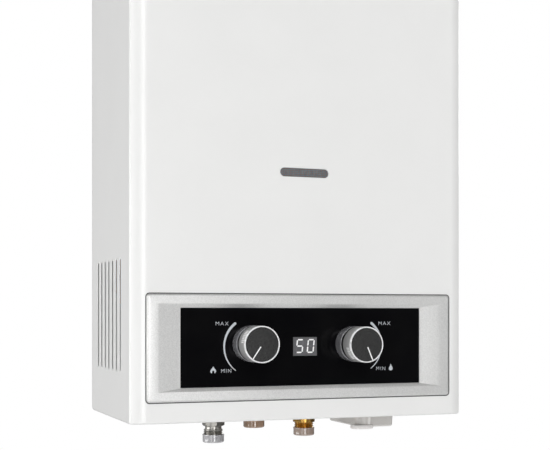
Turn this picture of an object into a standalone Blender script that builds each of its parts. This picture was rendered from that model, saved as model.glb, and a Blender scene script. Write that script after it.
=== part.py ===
"""Wall-hung tankless gas water heater, built as separate pieces in metres, with +Z up.

The frame's origin lies on the wall, midway between the two hanging holes. The wall is the plane
Y = 0 and the front faces -Y. Pieces are placed from the cabinet's lower edge, under one empty.
"""

import math

import bmesh
import bpy
from mathutils import Matrix, Vector

# Fits
GAP = 0.0003  # left between two pieces that touch
OVERRUN = 0.002  # how far a cutter runs past what it cuts

# Cabinet
CABINET_WIDTH = 0.340
CABINET_HEIGHT = 0.590
CABINET_DEPTH = 0.178
HANG_HEIGHT = 0.530  # hanging holes above the cabinet's lower edge

# Front cover
SHEET = 0.0008
WALL_GAP = 0.0005  # between the cover's back edge and the wall
SHOULDER_WIDTH = 0.015  # the shallow curve between the flat front and the corner bend
SHOULDER_DROP = 0.0035
CORNER_BEND = 0.003
TOP_BEND = 0.0024
HEM_BEND = 0.0020
HEM_WIDTH = 0.014
REAR_CORNER = 0.007
COVER_SCREW_INSET = 0.008  # screw centre from the cabinet's side
COVER_SCREW_DEPTH = 0.045  # screw centre from the wall

# Louvres in the cover's sides
LOUVRE_COUNT = 7
LOUVRE_FIRST = 0.0415  # first lip behind the cabinet's front
LOUVRE_LAST = 0.0345  # last lip from the wall
LOUVRE_PITCH = (CABINET_DEPTH - LOUVRE_FIRST - LOUVRE_LAST) / (LOUVRE_COUNT - 1)
LOUVRE_LENGTH = 0.109
LOUVRE_CENTRE = 0.100  # above the cabinet's lower edge
LOUVRE_WIDTH = 0.009
LOUVRE_RISE = 0.0022
LOUVRE_END = 0.006  # length of each closed, sloping end
LOUVRE_LANCE = 0.0004  # width of the cut that frees the lip

# Viewing slot
SLOT_LENGTH = 0.0497
SLOT_HEIGHT = 0.0082
SLOT_CENTRE = 0.2361
MESH_MARGIN = 0.007
MESH_THICKNESS = 0.0008

# Control trim
TRIM_INSET = 0.0147  # from the cabinet's sides
TRIM_WIDTH = CABINET_WIDTH - 2 * TRIM_INSET
TRIM_HEIGHT = 0.0998
TRIM_BASE = 0.0197  # above the cabinet's lower edge
TRIM_PROUD = 0.0020
TRIM_CORNER = 0.0045
TRIM_RIM = 0.0010
TRIM_OVERLAP = 0.0055  # how far the trim covers the sheet round the cut-out
TRIM_DEPTH = 0.010
TRIM_WALL = 0.0020
BORDER_SIDE = 0.0103  # flat border round the sloping faces
BORDER_LOW = 0.0092
BORDER_HIGH = 0.0087
SLOPE_SIDE = 0.022  # width of the sloping faces
SLOPE_LOW = 0.0035
SLOPE_HIGH = 0.0040

# Control panel and display
PANEL_SINK = 0.0010  # panel's face behind the cabinet's front
PANEL_THICKNESS = 0.0020
PANEL_LEDGE = 0.0040
DISPLAY_WIDTH = 0.0250
DISPLAY_HEIGHT = 0.0183
DISPLAY_X = 0.0006
DISPLAY_CENTRE = 0.0698
LED_DEPTH = 0.0080
BOARD_WIDTH = 0.056
BOARD_HEIGHT = 0.040
BOARD_THICKNESS = 0.0016

# Knobs
GAS_KNOB_X = -0.0556
GAS_KNOB_HEIGHT = 0.0730
WATER_KNOB_X = 0.0491
WATER_KNOB_HEIGHT = 0.0719
KNOB_RADIUS = 0.0174
KNOB_REACH = 0.0350  # knob's front ahead of the cabinet's front
COLLAR_LENGTH = 0.0140
COLLAR_WALL = 0.0022
COLLAR_SPIGOT_WALL = 0.0010
COLLAR_SPIGOT_LENGTH = 0.0050
GROOVE_LENGTH = 0.0035
KNOB_CLEARANCE = 0.0006  # between the stem and the collar round it
KNOB_CHAMFER = 0.0004
RING_WIDTH = 0.0016
RING_LENGTH = 0.0030
FACE_SINK = 0.0004
FACE_THICKNESS = 0.0010
STEM_SUNK = 0.0060  # stem's end inside the collar
BORE_DEPTH = 0.0140
SPINDLE_RADIUS = 0.0030
SPINDLE_FLAT = 0.0008  # depth of the flat that turns the knob
SPINDLE_FLAT_LENGTH = 0.0160
SPINDLE_IN_VALVE = 0.0100

# Combustion chamber's plan
CHAMBER_SIDE_SPACE = 0.062  # between the chamber and the cabinet's sides
CHAMBER_FRONT_SPACE = 0.029  # between the chamber and the cabinet's front
CHAMBER_WIDTH = CABINET_WIDTH - 2 * CHAMBER_SIDE_SPACE
CHAMBER_FRONT = CABINET_DEPTH - CHAMBER_FRONT_SPACE  # from the wall
CHAMBER_BACK = 0.035

# Back plate and hanging rail
PLATE = 0.0012
FLANGE_DEPTH = 0.018
SHELF_DEPTH = 0.100
PLATE_TOP = 0.500
PLATE_BEND = 0.0015
BEAD_INSET = 0.046  # bead's middle inside the chamber's side
BEAD_X = CHAMBER_WIDTH / 2 - BEAD_INSET
BEAD_BASE = 0.095
BEAD_TOP = 0.470
BEAD_RADIUS = 0.007
BEAD_DEPTH = 0.0020
FIX_HOLE_RADIUS = 0.0032
FIX_HOLE_X = 0.120
FIX_HOLE_HEIGHT = 0.045
KEYHOLE_X = 0.100
KEYHOLE_HEAD = 0.0055
KEYHOLE_SLOT = 0.0028
KEYHOLE_DROP = 0.013  # head hole below the hanging line

# Pipe connections
PIPE_DEPTH = 0.050  # connection axes from the wall
HOT_X = -0.052
GAS_X = -0.007
COLD_X = 0.050
THREAD_RADIUS = 0.0102
FITTING_FLANGE_RADIUS = 0.0145
FITTING_FLANGE = 0.0030
FITTING_BORE = 0.0065
SHELF_HOLE = 0.0125
HOT_END = -0.0307  # lower ends, from the cabinet's lower edge
GAS_END = -0.0166
COLD_END = -0.0269
HOT_TOP = 0.020
INLET_TOP = 0.026
HOT_HEX = 0.0230  # across the flats
HOT_HEX_TOP = -0.0050
HOT_HEX_BASE = -0.0160
HOT_NECK_RADIUS = 0.0083
HOT_NECK_BASE = -0.0205
HOT_SHANK_RADIUS = 0.0105
HEX_SIDES = 6
BRASS_BODY_RADIUS = 0.0118
BRASS_BODY_BASE = -0.0150
GAS_BODY_BASE = -0.0030
CAP_RADIUS = 0.0112
CAP_LENGTH = 0.0095
CAP_FLOOR = 0.0009
CAP_CHAMFER = 0.0010
CAP_SPARE = 0.0024  # free depth under the thread's end

# Valve group
VALVE_DEPTH = 0.088  # valve axis from the wall
LINK_HEIGHT = 0.066  # push rod's axis
GAS_BODY_LEFT = -0.078
GAS_BODY_RIGHT = -0.004
GAS_BODY_FRONT = 0.112  # from the wall
GAS_BODY_BACK = 0.066
GAS_BODY_TOP = 0.096
GAS_BODY_LOW = 0.046
GAS_BODY_CORNER = 0.007
GAS_BOSS_RADIUS = 0.0100
GAS_BOSS_RIGHT = 0.014
INLET_RADIUS = 0.0105
INLET_HEIGHT = 0.060
SPINDLE_BOSS_RADIUS = 0.0090
SPINDLE_BOSS_LENGTH = 0.0100
GAS_OUTLET_X = -0.030
GAS_OUTLET_RADIUS = 0.0085
GAS_OUTLET_LENGTH = 0.0080
SOLENOID_RADIUS = 0.0115
SOLENOID_LENGTH = 0.0260
SOLENOID_HEIGHT = 0.0730
SOLENOID_TIP_RADIUS = 0.0060
SOLENOID_TIP_LENGTH = 0.0040
WATER_COVER_LEFT = 0.022
WATER_COVER_THICKNESS = 0.0097
WATER_FLANGE = 0.0060
WATER_BODY_LENGTH = 0.028
WATER_BODY_FRONT = 0.108  # from the wall
WATER_BODY_BACK = 0.068
WATER_BODY_TOP = 0.088
WATER_BODY_LOW = 0.046
WATER_BODY_CORNER = 0.005
DIAPHRAGM_RADIUS = 0.025
DIAPHRAGM_STEP = 0.0030
DIAPHRAGM_CROWN = 0.0190
WATER_OUTLET_X = 0.056
WATER_OUTLET_LENGTH = 0.008
PLUG_X = 0.054
PLUG_RADIUS = 0.0065
PLUG_LENGTH = 0.0100
PLUG_HEAD_LENGTH = 0.0070
PLUG_WING = 0.0120
PLUG_WING_THICKNESS = 0.0030
PLUG_SHANK_RADIUS = 0.0035
PLUG_SHANK_LENGTH = 0.0050
ROD_RADIUS = 0.0025
ROD_SUNK = 0.0080  # rod's ends inside the two valves
ROD_STROKE = 0.0030
ROD_PLATE_THICKNESS = 0.0020
ROD_PLATE_HALF = 0.0050
ROD_PLATE_TOP = 0.0840
ROD_PLATE_LOW = 0.0610
SWITCH_LEFT = -0.0037
SWITCH_RIGHT = 0.0130
SWITCH_HALF = 0.0035
SWITCH_HEIGHT = 0.0130
PLUNGER_RADIUS = 0.0012
PLUNGER_HEIGHT = 0.0050  # above the switch's base
PLUNGER_SUNK = 0.0060

# Burner and manifold
BLADE_COUNT = 10
BLADE_SPARE = 0.026  # part of the chamber's width that the blades leave free
BLADE_PITCH = (CHAMBER_WIDTH - BLADE_SPARE) / BLADE_COUNT
BLADE_THICKNESS = 0.0110
BURNER_INSET = 0.017  # burner's front behind the chamber's
BURNER_FRONT = CHAMBER_FRONT - BURNER_INSET
BURNER_BACK = 0.045
BURNER_TOP = 0.206
BURNER_HEAD = 0.022
BURNER_BASE = 0.142
VENTURI_HEIGHT = 0.016
VENTURI_REAR = 0.024  # width of the rising passage at the back
BURNER_RAIL = 0.0020
MOUTH_RADIUS = 0.0045
MANIFOLD_RADIUS = 0.0080
MANIFOLD_AHEAD = 0.018  # manifold's axis ahead of the burner
MANIFOLD_DEPTH = BURNER_FRONT + MANIFOLD_AHEAD
MANIFOLD_SPARE = 0.0120
NOZZLE_RADIUS = 0.0030
NOZZLE_GAP = 0.0035
FEED_RADIUS = 0.0070
FEED_BEND = 0.014
FEED_TURN_HEIGHT = 0.1195

# Combustion chamber, wound pipe and fin pack
CHAMBER_BASE = 0.2070
CHAMBER_TOP = 0.362
CHAMBER_SHEET = 0.0010
CHAMBER_CORNER = 0.012
SIGHT_LENGTH = 0.062
SIGHT_HEIGHT = 0.013
PIPE_RADIUS = 0.0070
COIL_TURNS = 3
COIL_BASE = 0.2600
COIL_SPARE = 0.012  # from the last turn to the chamber's top
COIL_RISE = (CHAMBER_TOP - COIL_SPARE - COIL_BASE) / COIL_TURNS
COIL_BEND = 0.0160
COIL_BEND_STEPS = 3
LINK_BEND = 0.012
LINK_SPACE = 0.032  # between the chamber and the pipe that leads up to the fins
LINK_X = CHAMBER_WIDTH / 2 + LINK_SPACE
FIN_COUNT = 7
FIN_SPARE = 0.054
FIN_PITCH = (CHAMBER_WIDTH - FIN_SPARE) / (FIN_COUNT - 1)
FIN_THICKNESS = 0.0010
FIN_HEIGHT = 0.046
FIN_TUBES = 3
FIN_TUBE_RADIUS = 0.0080
FIN_TUBE_SHARE = 0.298  # tube pitch as a share of the chamber's depth
FIN_TUBE_PITCH = (CHAMBER_FRONT - CHAMBER_BACK) * FIN_TUBE_SHARE
FIN_END = 0.0020
FIN_INSET = 0.0040
FIN_TUBE_PROUD = 0.0140

# Water pipes
RISER_INSET = 0.020  # hot pipe's axis inside the cabinet's side
RISER_X = CABINET_WIDTH / 2 - RISER_INSET
HOT_TURN_HEIGHT = 0.108
COLD_TURN_HEIGHT = 0.1240
COLD_RISER_AHEAD = 0.010  # cold pipe's axis ahead of the chamber
COLD_RISER_DEPTH = CHAMBER_FRONT + COLD_RISER_AHEAD
PIPE_BEND = 0.016
BEND_STEPS = 4

# Flue
FLUE_DEPTH = (CHAMBER_FRONT + CHAMBER_BACK) / 2  # flue axis from the wall
FLUE_RADIUS = 0.055
FLUE_WALL = 0.0010
FLUE_RISE = 0.026  # above the cabinet's top
FLUE_FLANGE = 0.0060
FLUE_CLEARANCE = 0.0025
RAIL_CLEARANCE = 0.003  # between the rail's flange and the flue
RAIL_FLANGE = FLUE_DEPTH - FLUE_RADIUS - FLUE_FLANGE - RAIL_CLEARANCE
HOOD_SKIRT = 0.060
HOOD_NECK_TOP = 0.572
HOOD_NECK_BASE = 0.548
HOOD_SLOT_INSET = 0.033  # slot's ends inside the hood's sides
HOOD_SLOT_LENGTH = CHAMBER_WIDTH - 2 * HOOD_SLOT_INSET
HOOD_SLOT_HEIGHT = 0.022
HOOD_SLOT_CENTRE = 0.440
COLLAR_BASE = 0.556

# Sensors and ignition
ELECTRODE_X = 0.030
ELECTRODE_RADIUS = 0.0035
ELECTRODE_LENGTH = 0.030
ELECTRODE_WIRE = 0.0011
ELECTRODE_WIRE_LENGTH = 0.014
ELECTRODE_BASE = 0.184
BRACKET_WIDTH = 0.090
BRACKET_HEIGHT = 0.016
BRACKET_SHEET = 0.0015
THERMOSTAT_RADIUS = 0.0085
THERMOSTAT_THICKNESS = 0.0070
THERMOSTAT_EAR = 0.0130
THERMOSTAT_EAR_THICKNESS = 0.0010
OVERHEAT_INSET = 0.028  # inside the chamber's side
OVERHEAT_X = CHAMBER_WIDTH / 2 - OVERHEAT_INSET
OVERHEAT_HEIGHT = 0.232
FLUE_THERMOSTAT_INSET = 0.019  # inside the hood's side
FLUE_THERMOSTAT_X = CHAMBER_WIDTH / 2 - FLUE_THERMOSTAT_INSET
FLUE_THERMOSTAT_HEIGHT = 0.440
TERMINAL_WIDTH = 0.0048
TERMINAL_THICKNESS = 0.0008
TERMINAL_LENGTH = 0.0070
TERMINAL_OFFSET = 0.0040
SENSOR_LENGTH = 0.018
SENSOR_RADIUS = 0.0035
SENSOR_HEIGHT = 0.170
CLIP_WALL = 0.0012
CLIP_LENGTH = 0.010
IGNITER_CLEARANCE = 0.0118  # beside the back plate's bead
IGNITER_SIDE_SPACE = 0.016  # beside the cabinet's side
IGNITER_LEFT = BEAD_X + BEAD_RADIUS + PLATE + IGNITER_CLEARANCE
IGNITER_RIGHT = CABINET_WIDTH / 2 - IGNITER_SIDE_SPACE
IGNITER_HEIGHT = 0.046
IGNITER_DEPTH = 0.028
IGNITER_CENTRE = 0.112
IGNITER_CORNER = 0.004
CONNECTOR_WIDTH = 0.030
CONNECTOR_HEIGHT = 0.006
CONNECTOR_DEPTH = 0.008

# Chamber brackets
SUPPORT_WIDTH = 0.024
SUPPORT_HEIGHT = 0.030
SUPPORT_INSET = 0.024  # middle inside the chamber's side
SUPPORT_X = CHAMBER_WIDTH / 2 - SUPPORT_INSET
SUPPORT_BASE = 0.214
SUPPORT_SHEET = 0.0015

# Battery box for two D cells that stand one behind the other
CELL_RADIUS = 0.0171
CELL_LENGTH = 0.0600
CELL_PITCH = 0.0355
CELL_TIP_RADIUS = 0.0048
CELL_TIP = 0.0015
BOX_SHARE = 0.3667  # of the way from the cold inlet to the cabinet's side
BOX_LEFT = COLD_X + (CABINET_WIDTH / 2 - COLD_X) * BOX_SHARE
BOX_WIDTH = 0.041
BOX_FRONT = 0.090  # from the wall
BOX_DEPTH = 0.078
BOX_LOW = -0.0185  # underside of the closed lid
BOX_TOP = 0.055
BOX_WALL = 0.0018
BOX_FINGER_CORNER = 0.0100
BOX_CORNER = 0.0030
BOX_RIM = 0.0040
BOX_RIM_THICKNESS = 0.0020
LID_THICKNESS = 0.0022
TAB_WIDTH = 0.0230
TAB_DEPTH = 0.0240
TAB_PROUD = 0.0045
TAB_DROP = 0.0030
BARREL_RADIUS = 0.0025
BARREL_LENGTH = 0.0200
LUG_LENGTH = 0.0060
PIN_RADIUS = 0.0010
CONTACT_THICKNESS = 0.0006
SPRING_RADIUS = 0.0070

# Screws
SCREW_RADIUS = 0.0019
SCREW_LENGTH = 0.0080
SCREW_HEAD_RADIUS = 0.0040
SCREW_HEAD = 0.0018

# Facets
ROUND = 20
SMALL_ROUND = 12
ARC_STEPS = 4
SMOOTH_ANGLE = math.radians(35)

FRONT = -CABINET_DEPTH
HALF_WIDTH = CABINET_WIDTH / 2

FINISHES = {  # red, green, blue, roughness, metallic
    "white_enamel": (0.83, 0.83, 0.83, 0.30, 0.0),
    "grey_steel": (0.50, 0.51, 0.52, 0.45, 0.9),
    "zinc_sheet": (0.62, 0.63, 0.64, 0.40, 0.9),
    "silver_paint": (0.72, 0.72, 0.73, 0.32, 0.6),
    "black_gloss": (0.010, 0.010, 0.010, 0.12, 0.0),
    "display_grey": (0.14, 0.14, 0.14, 0.20, 0.0),
    "dark_mesh": (0.12, 0.12, 0.13, 0.50, 0.7),
    "satin_metal": (0.42, 0.42, 0.42, 0.28, 1.0),
    "bright_chrome": (0.85, 0.85, 0.86, 0.08, 1.0),
    "dark_face": (0.045, 0.045, 0.045, 0.55, 0.2),
    "brass": (0.70, 0.48, 0.16, 0.30, 1.0),
    "copper": (0.75, 0.35, 0.18, 0.30, 1.0),
    "cast_aluminium": (0.60, 0.60, 0.60, 0.50, 0.9),
    "clear_grey_plastic": (0.40, 0.39, 0.38, 0.35, 0.0),
    "grey_plastic": (0.56, 0.56, 0.54, 0.45, 0.0),
    "black_plastic": (0.03, 0.03, 0.03, 0.50, 0.0),
    "green_board": (0.03, 0.16, 0.06, 0.50, 0.0),
    "white_ceramic": (0.80, 0.78, 0.74, 0.40, 0.0),
    "red_plastic": (0.50, 0.05, 0.04, 0.45, 0.0),
}

ALONG_X = Matrix(((0, 0, 1), (1, 0, 0), (0, 1, 0)))  # an outline's x, y and depth become Y, Z and X
ALONG_Y = Matrix(((1, 0, 0), (0, 0, -1), (0, 1, 0)))  # an outline's x, y and depth become X, Z and -Y
ALONG_Z = Matrix.Identity(3)


# Scene, collections and materials


def clear_scene():
    for item in list(bpy.data.objects):
        bpy.data.objects.remove(item, do_unlink=True)


def new_collection(name):
    found = bpy.data.collections.new(name)
    bpy.context.scene.collection.children.link(found)
    return found


def new_material(name, finish):
    red, green, blue, roughness, metallic = FINISHES[finish]
    made = bpy.data.materials.new(name)
    made.use_nodes = True
    shader = made.node_tree.nodes["Principled BSDF"]
    shader.inputs["Base Color"].default_value = (red, green, blue, 1)
    shader.inputs["Roughness"].default_value = roughness
    shader.inputs["Metallic"].default_value = metallic
    return made


clear_scene()
PARTS = new_collection("tankless_water_heater")
CUTTERS = new_collection("cutters")
HEATER = bpy.data.objects.new("heater_frame", None)
HEATER.location = (0, 0, -HANG_HEIGHT)
PARTS.objects.link(HEATER)


def place(name, data, finish, location, turn=ALONG_Z):
    """An object under the heater's empty. One with no finish is a cutter or a shape to join."""
    made = bpy.data.objects.new(name, data)
    made.location = location
    made.rotation_euler = turn.to_euler()
    made.parent = HEATER
    if finish is None:
        CUTTERS.objects.link(made)
        made.hide_render = True
        made.display_type = "WIRE"
    else:
        PARTS.objects.link(made)
        data.materials.append(new_material(name, finish))
    return made


def finished_mesh(form, name):
    bmesh.ops.recalc_face_normals(form, faces=form.faces)
    mesh = bpy.data.meshes.new(name)
    form.to_mesh(mesh)
    form.free()
    return mesh


# Basic shapes


def block(name, low, high, finish=None, edges=None, radius=0.0, steps=3):
    """A box between two corners; edges picks the directions whose edges are rounded."""
    low, high = Vector(low), Vector(high)
    form = bmesh.new()
    bmesh.ops.create_cube(form, size=1)
    bmesh.ops.scale(form, vec=high - low, verts=form.verts)
    for axis in edges or ():
        index = "XYZ".index(axis)
        picked = [
            edge
            for edge in form.edges
            if abs((edge.verts[0].co - edge.verts[1].co).normalized()[index]) > 0.99
        ]
        bmesh.ops.bevel(
            form, geom=picked, offset=radius, segments=steps, profile=0.5, affect="EDGES"
        )
    return place(name, finished_mesh(form, name), finish, (low + high) / 2)


def cylinder(name, radius, start, end, finish=None, sides=ROUND, tip_radius=None):
    """A cylinder, or a cone with a tip radius, from one point to another."""
    start, end = Vector(start), Vector(end)
    form = bmesh.new()
    bmesh.ops.create_cone(
        form,
        cap_ends=True,
        segments=sides,
        radius1=radius,
        radius2=radius if tip_radius is None else tip_radius,
        depth=(end - start).length,
    )
    turn = (end - start).to_track_quat("Z", "Y").to_matrix()
    return place(name, finished_mesh(form, name), finish, (start + end) / 2, turn)


def turned(name, profile, location, finish=None, turn=ALONG_Z, sides=ROUND, closed=False):
    """A turned solid. The profile of (radius, height) points runs down its outer side."""
    mesh = bpy.data.meshes.new(name)
    points = [(radius, 0, height) for radius, height in profile]
    links = [(i, i + 1) for i in range(len(points) - 1)]
    if closed:
        links.append((len(points) - 1, 0))
    mesh.from_pydata(points, links, [])
    made = place(name, mesh, finish, location, turn)
    screw = made.modifiers.new("turn", "SCREW")
    screw.steps = sides
    screw.render_steps = sides
    screw.use_merge_vertices = True
    screw.merge_threshold = 0.00001
    return made


def as_mesh(item, finish):
    """Turns a curve object into a closed mesh object of the same name and place."""
    bpy.context.view_layer.update()
    name = item.name
    evaluated = item.evaluated_get(bpy.context.evaluated_depsgraph_get())
    mesh = bpy.data.meshes.new_from_object(evaluated)
    matrix = item.matrix_world.copy()
    bpy.data.objects.remove(item, do_unlink=True)
    form = bmesh.new()
    form.from_mesh(mesh)
    bmesh.ops.remove_doubles(form, verts=form.verts, dist=0.000001)
    made = place(name, finished_mesh(form, name), finish, (0, 0, 0))
    made.matrix_world = matrix
    return made


def outline(name, points, start, end, turn, finish=None, holes=()):
    """A flat outline, with holes, between two planes square to its depth."""
    curve = bpy.data.curves.new(name, "CURVE")
    curve.dimensions = "2D"
    curve.fill_mode = "BOTH"
    curve.extrude = abs(end - start) / 2
    for loop in (points, *holes):
        spline = curve.splines.new("POLY")
        spline.points.add(len(loop) - 1)
        for point, (x, y) in zip(spline.points, loop):
            point.co = (x, y, 0, 1)
        spline.use_cyclic_u = True
    middle = turn @ Vector((0, 0, (start + end) / 2))
    made = place(name, curve, None, middle, turn)
    return as_mesh(made, finish)


def tube(name, route, radius, finish=None):
    curve = bpy.data.curves.new(name, "CURVE")
    curve.dimensions = "3D"
    curve.bevel_depth = radius
    curve.bevel_resolution = 1
    curve.use_fill_caps = True
    spline = curve.splines.new("POLY")
    spline.points.add(len(route) - 1)
    for point, place_at in zip(spline.points, route):
        point.co = (*place_at, 1)
    return as_mesh(place(name, curve, None, (0, 0, 0)), finish)


def cut(item, *tools):
    for tool in tools:
        modifier = item.modifiers.new(f"cut {tool.name}", "BOOLEAN")
        modifier.operation = "DIFFERENCE"
        modifier.object = tool
    return item


def join(item, *tools):
    for tool in tools:
        modifier = item.modifiers.new(f"join {tool.name}", "BOOLEAN")
        modifier.operation = "UNION"
        modifier.object = tool
    return item


# Outlines and routes


def arc(centre, radius, first, last, steps=ARC_STEPS):
    """Points on an arc, with both ends; angles are in degrees."""
    found = []
    for step in range(steps + 1):
        angle = math.radians(first + (last - first) * step / steps)
        found.append((centre[0] + radius * math.cos(angle), centre[1] + radius * math.sin(angle)))
    return found


def circle(centre, radius, sides=SMALL_ROUND):
    return arc(centre, radius, 0, 360, sides)[:-1]


def rounded_rectangle(left, right, low, high, radii, steps=ARC_STEPS):
    """A rectangle whose corners have their own radii: low left, low right, high right, high left."""
    corners = (
        (left, low, 1, 1, 180),
        (right, low, -1, 1, 270),
        (right, high, -1, -1, 0),
        (left, high, 1, -1, 90),
    )
    found = []
    for (x, y, x_way, y_way, first), radius in zip(corners, radii):
        centre = (x + x_way * radius, y + y_way * radius)
        found += arc(centre, radius, first, first + 90, steps)
    return found


def slot_outline(centre, length, height, steps=ARC_STEPS):
    """A level slot with round ends."""
    radius = height / 2
    reach = length / 2 - radius
    right = arc((centre[0] + reach, centre[1]), radius, -90, 90, steps)
    left = arc((centre[0] - reach, centre[1]), radius, 90, 270, steps)
    return right + left


def bent_route(corners, bend, steps=BEND_STEPS):
    """A pipe's route through the corners, with a bend of the given radius at each inner one."""
    corners = [Vector(corner) for corner in corners]
    route = [corners[0]]
    for before, corner, after in zip(corners, corners[1:], corners[2:]):
        back = (before - corner).normalized()
        ahead = (after - corner).normalized()
        half = back.angle(ahead) / 2
        centre = corner + (back + ahead).normalized() * bend / math.sin(half)
        first = corner + back * bend / math.tan(half) - centre
        last = corner + ahead * bend / math.tan(half) - centre
        for step in range(steps + 1):
            route.append(centre + bend * first.slerp(last, step / steps))
    route.append(corners[-1])
    return route


# Front cover


def cover_half():
    """The right half of the cover's plan, from the flat front round to the back edge."""
    turn = 2 * math.atan(SHOULDER_DROP / SHOULDER_WIDTH)
    shoulder = SHOULDER_WIDTH / math.sin(turn)
    flat = HALF_WIDTH - SHOULDER_WIDTH - CORNER_BEND * (1 - math.sin(turn))
    lean = math.degrees(turn)
    points = arc((flat, FRONT + shoulder), shoulder, -90, -90 + lean)
    end = Vector(points[-1])
    bend = end - CORNER_BEND * Vector((math.sin(turn), -math.cos(turn)))
    points += arc(bend, CORNER_BEND, -90 + lean, 0)[1:]
    points.append((HALF_WIDTH, -WALL_GAP))
    return points


def cover_shell():
    """An open sheet surface: front, sides, top and hem, with the back left out."""
    half = cover_half()
    plan = [(-x, y) for x, y in reversed(half)] + half
    form = bmesh.new()
    base = form.faces.new([form.verts.new((x, y, 0)) for x, y in plan])
    grown = bmesh.ops.extrude_face_region(form, geom=[base])
    raised = [part for part in grown["geom"] if isinstance(part, bmesh.types.BMVert)]
    bmesh.ops.translate(form, vec=(0, 0, CABINET_HEIGHT), verts=raised)
    for level, bend in ((CABINET_HEIGHT, TOP_BEND), (0, HEM_BEND)):
        rim = [
            edge
            for edge in form.edges
            if all(abs(vert.co.z - level) < GAP for vert in edge.verts)
            and not all(abs(vert.co.y + WALL_GAP) < GAP / 2 for vert in edge.verts)
        ]
        bmesh.ops.bevel(form, geom=rim, offset=bend, segments=3, profile=0.5, affect="EDGES")
    bmesh.ops.recalc_face_normals(form, faces=form.faces)
    back = [face for face in form.faces if face.normal.y > 0.99]
    bmesh.ops.delete(form, geom=back, context="FACES")
    mesh = bpy.data.meshes.new("front_cover")
    form.to_mesh(mesh)
    form.free()
    made = place("front_cover", mesh, "white_enamel", (0, 0, 0))
    solid = made.modifiers.new("sheet", "SOLIDIFY")
    solid.thickness = SHEET
    solid.offset = -1
    return made


def louvre_form(name, shift, lance):
    """All louvres of both sides as wedges that rise towards the front, moved inwards by shift."""
    form = bmesh.new()
    for side in (-1, 1):
        wall = HALF_WIDTH - shift
        for number in range(LOUVRE_COUNT):
            lip = FRONT + LOUVRE_FIRST + number * LOUVRE_PITCH
            made = bmesh.ops.create_cube(form, size=1)["verts"]
            for vert in made:
                front, outer, high = vert.co.y < 0, vert.co.x > 0, vert.co.z > 0
                inset = LOUVRE_END if front and outer else 0
                vert.co.x = wall + LOUVRE_RISE if front and outer else wall if outer else wall - SHEET
                vert.co.y = lip - lance if front else lip + LOUVRE_WIDTH
                vert.co.z = LOUVRE_CENTRE + (1 if high else -1) * (LOUVRE_LENGTH / 2 - inset)
                vert.co.x *= side
    return place(name, finished_mesh(form, name), None, (0, 0, 0))


def front_cover():
    cover = cover_shell()
    mouth = block(
        "cover_mouth",
        (-HALF_WIDTH + HEM_WIDTH, FRONT + HEM_WIDTH, -OVERRUN),
        (HALF_WIDTH - HEM_WIDTH, OVERRUN, OVERRUN),
    )
    back = -WALL_GAP
    corner = outline(
        "cover_rear_corner",
        [(back + OVERRUN, REAR_CORNER)]
        + arc((back - REAR_CORNER, REAR_CORNER), REAR_CORNER, 0, -90)
        + [(back - REAR_CORNER, -OVERRUN), (back + OVERRUN, -OVERRUN)],
        -HALF_WIDTH - OVERRUN,
        HALF_WIDTH + OVERRUN,
        ALONG_X,
    )
    slot = outline(
        "viewing_slot",
        slot_outline((0, SLOT_CENTRE), SLOT_LENGTH, SLOT_HEIGHT),
        CABINET_DEPTH + OVERRUN,
        CABINET_DEPTH - OVERRUN,
        ALONG_Y,
    )
    left, right, low, high = control_cutout()
    window = block(
        "control_cutout", (left, FRONT - OVERRUN, low), (right, FRONT + OVERRUN, high),
        edges="Y", radius=TRIM_CORNER,
    )
    hole = FLUE_RADIUS + FLUE_CLEARANCE
    notch = outline(
        "flue_notch",
        arc((0, -FLUE_DEPTH), hole, 180, 360, ROUND // 2) + [(hole, OVERRUN), (-hole, OVERRUN)],
        CABINET_HEIGHT - OVERRUN,
        CABINET_HEIGHT + OVERRUN,
        ALONG_Z,
    )
    cut(cover, mouth, corner, slot, window, notch)
    for side in (-1, 1):
        at = (side * (HALF_WIDTH - COVER_SCREW_INSET), -COVER_SCREW_DEPTH)
        hole = cylinder(
            f"cover_screw_hole_{side}", SCREW_RADIUS + GAP, (*at, -OVERRUN), (*at, OVERRUN),
            sides=SMALL_ROUND,
        )
        cut(cover, hole)
    join(cover, louvre_form("louvre_rise", 0, 0))
    cut(cover, louvre_form("louvre_hollow", SHEET, LOUVRE_LANCE))
    return cover


def viewing_mesh():
    """The plate of mesh behind the viewing slot."""
    width = SLOT_LENGTH / 2 + MESH_MARGIN
    height = SLOT_HEIGHT / 2 + MESH_MARGIN
    face = FRONT + SHEET + GAP
    return block(
        "viewing_mesh", (-width, face, SLOT_CENTRE - height),
        (width, face + MESH_THICKNESS, SLOT_CENTRE + height), "dark_mesh",
    )


# Controls


def control_cutout():
    """The cover's cut-out behind the trim: left, right, low, high."""
    half = TRIM_WIDTH / 2 - TRIM_OVERLAP
    return -half, half, TRIM_BASE + TRIM_OVERLAP, TRIM_BASE + TRIM_HEIGHT - TRIM_OVERLAP


def border_edge():
    """Where the trim's flat border ends and its slopes begin: left, right, low, high."""
    half = TRIM_WIDTH / 2 - BORDER_SIDE
    return -half, half, TRIM_BASE + BORDER_LOW, TRIM_BASE + TRIM_HEIGHT - BORDER_HIGH


def panel_opening():
    """The edge where the trim's slopes meet the panel: left, right, low, high."""
    left, right, low, high = border_edge()
    return left + SLOPE_SIDE, right - SLOPE_SIDE, low + SLOPE_LOW, high - SLOPE_HIGH


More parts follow.
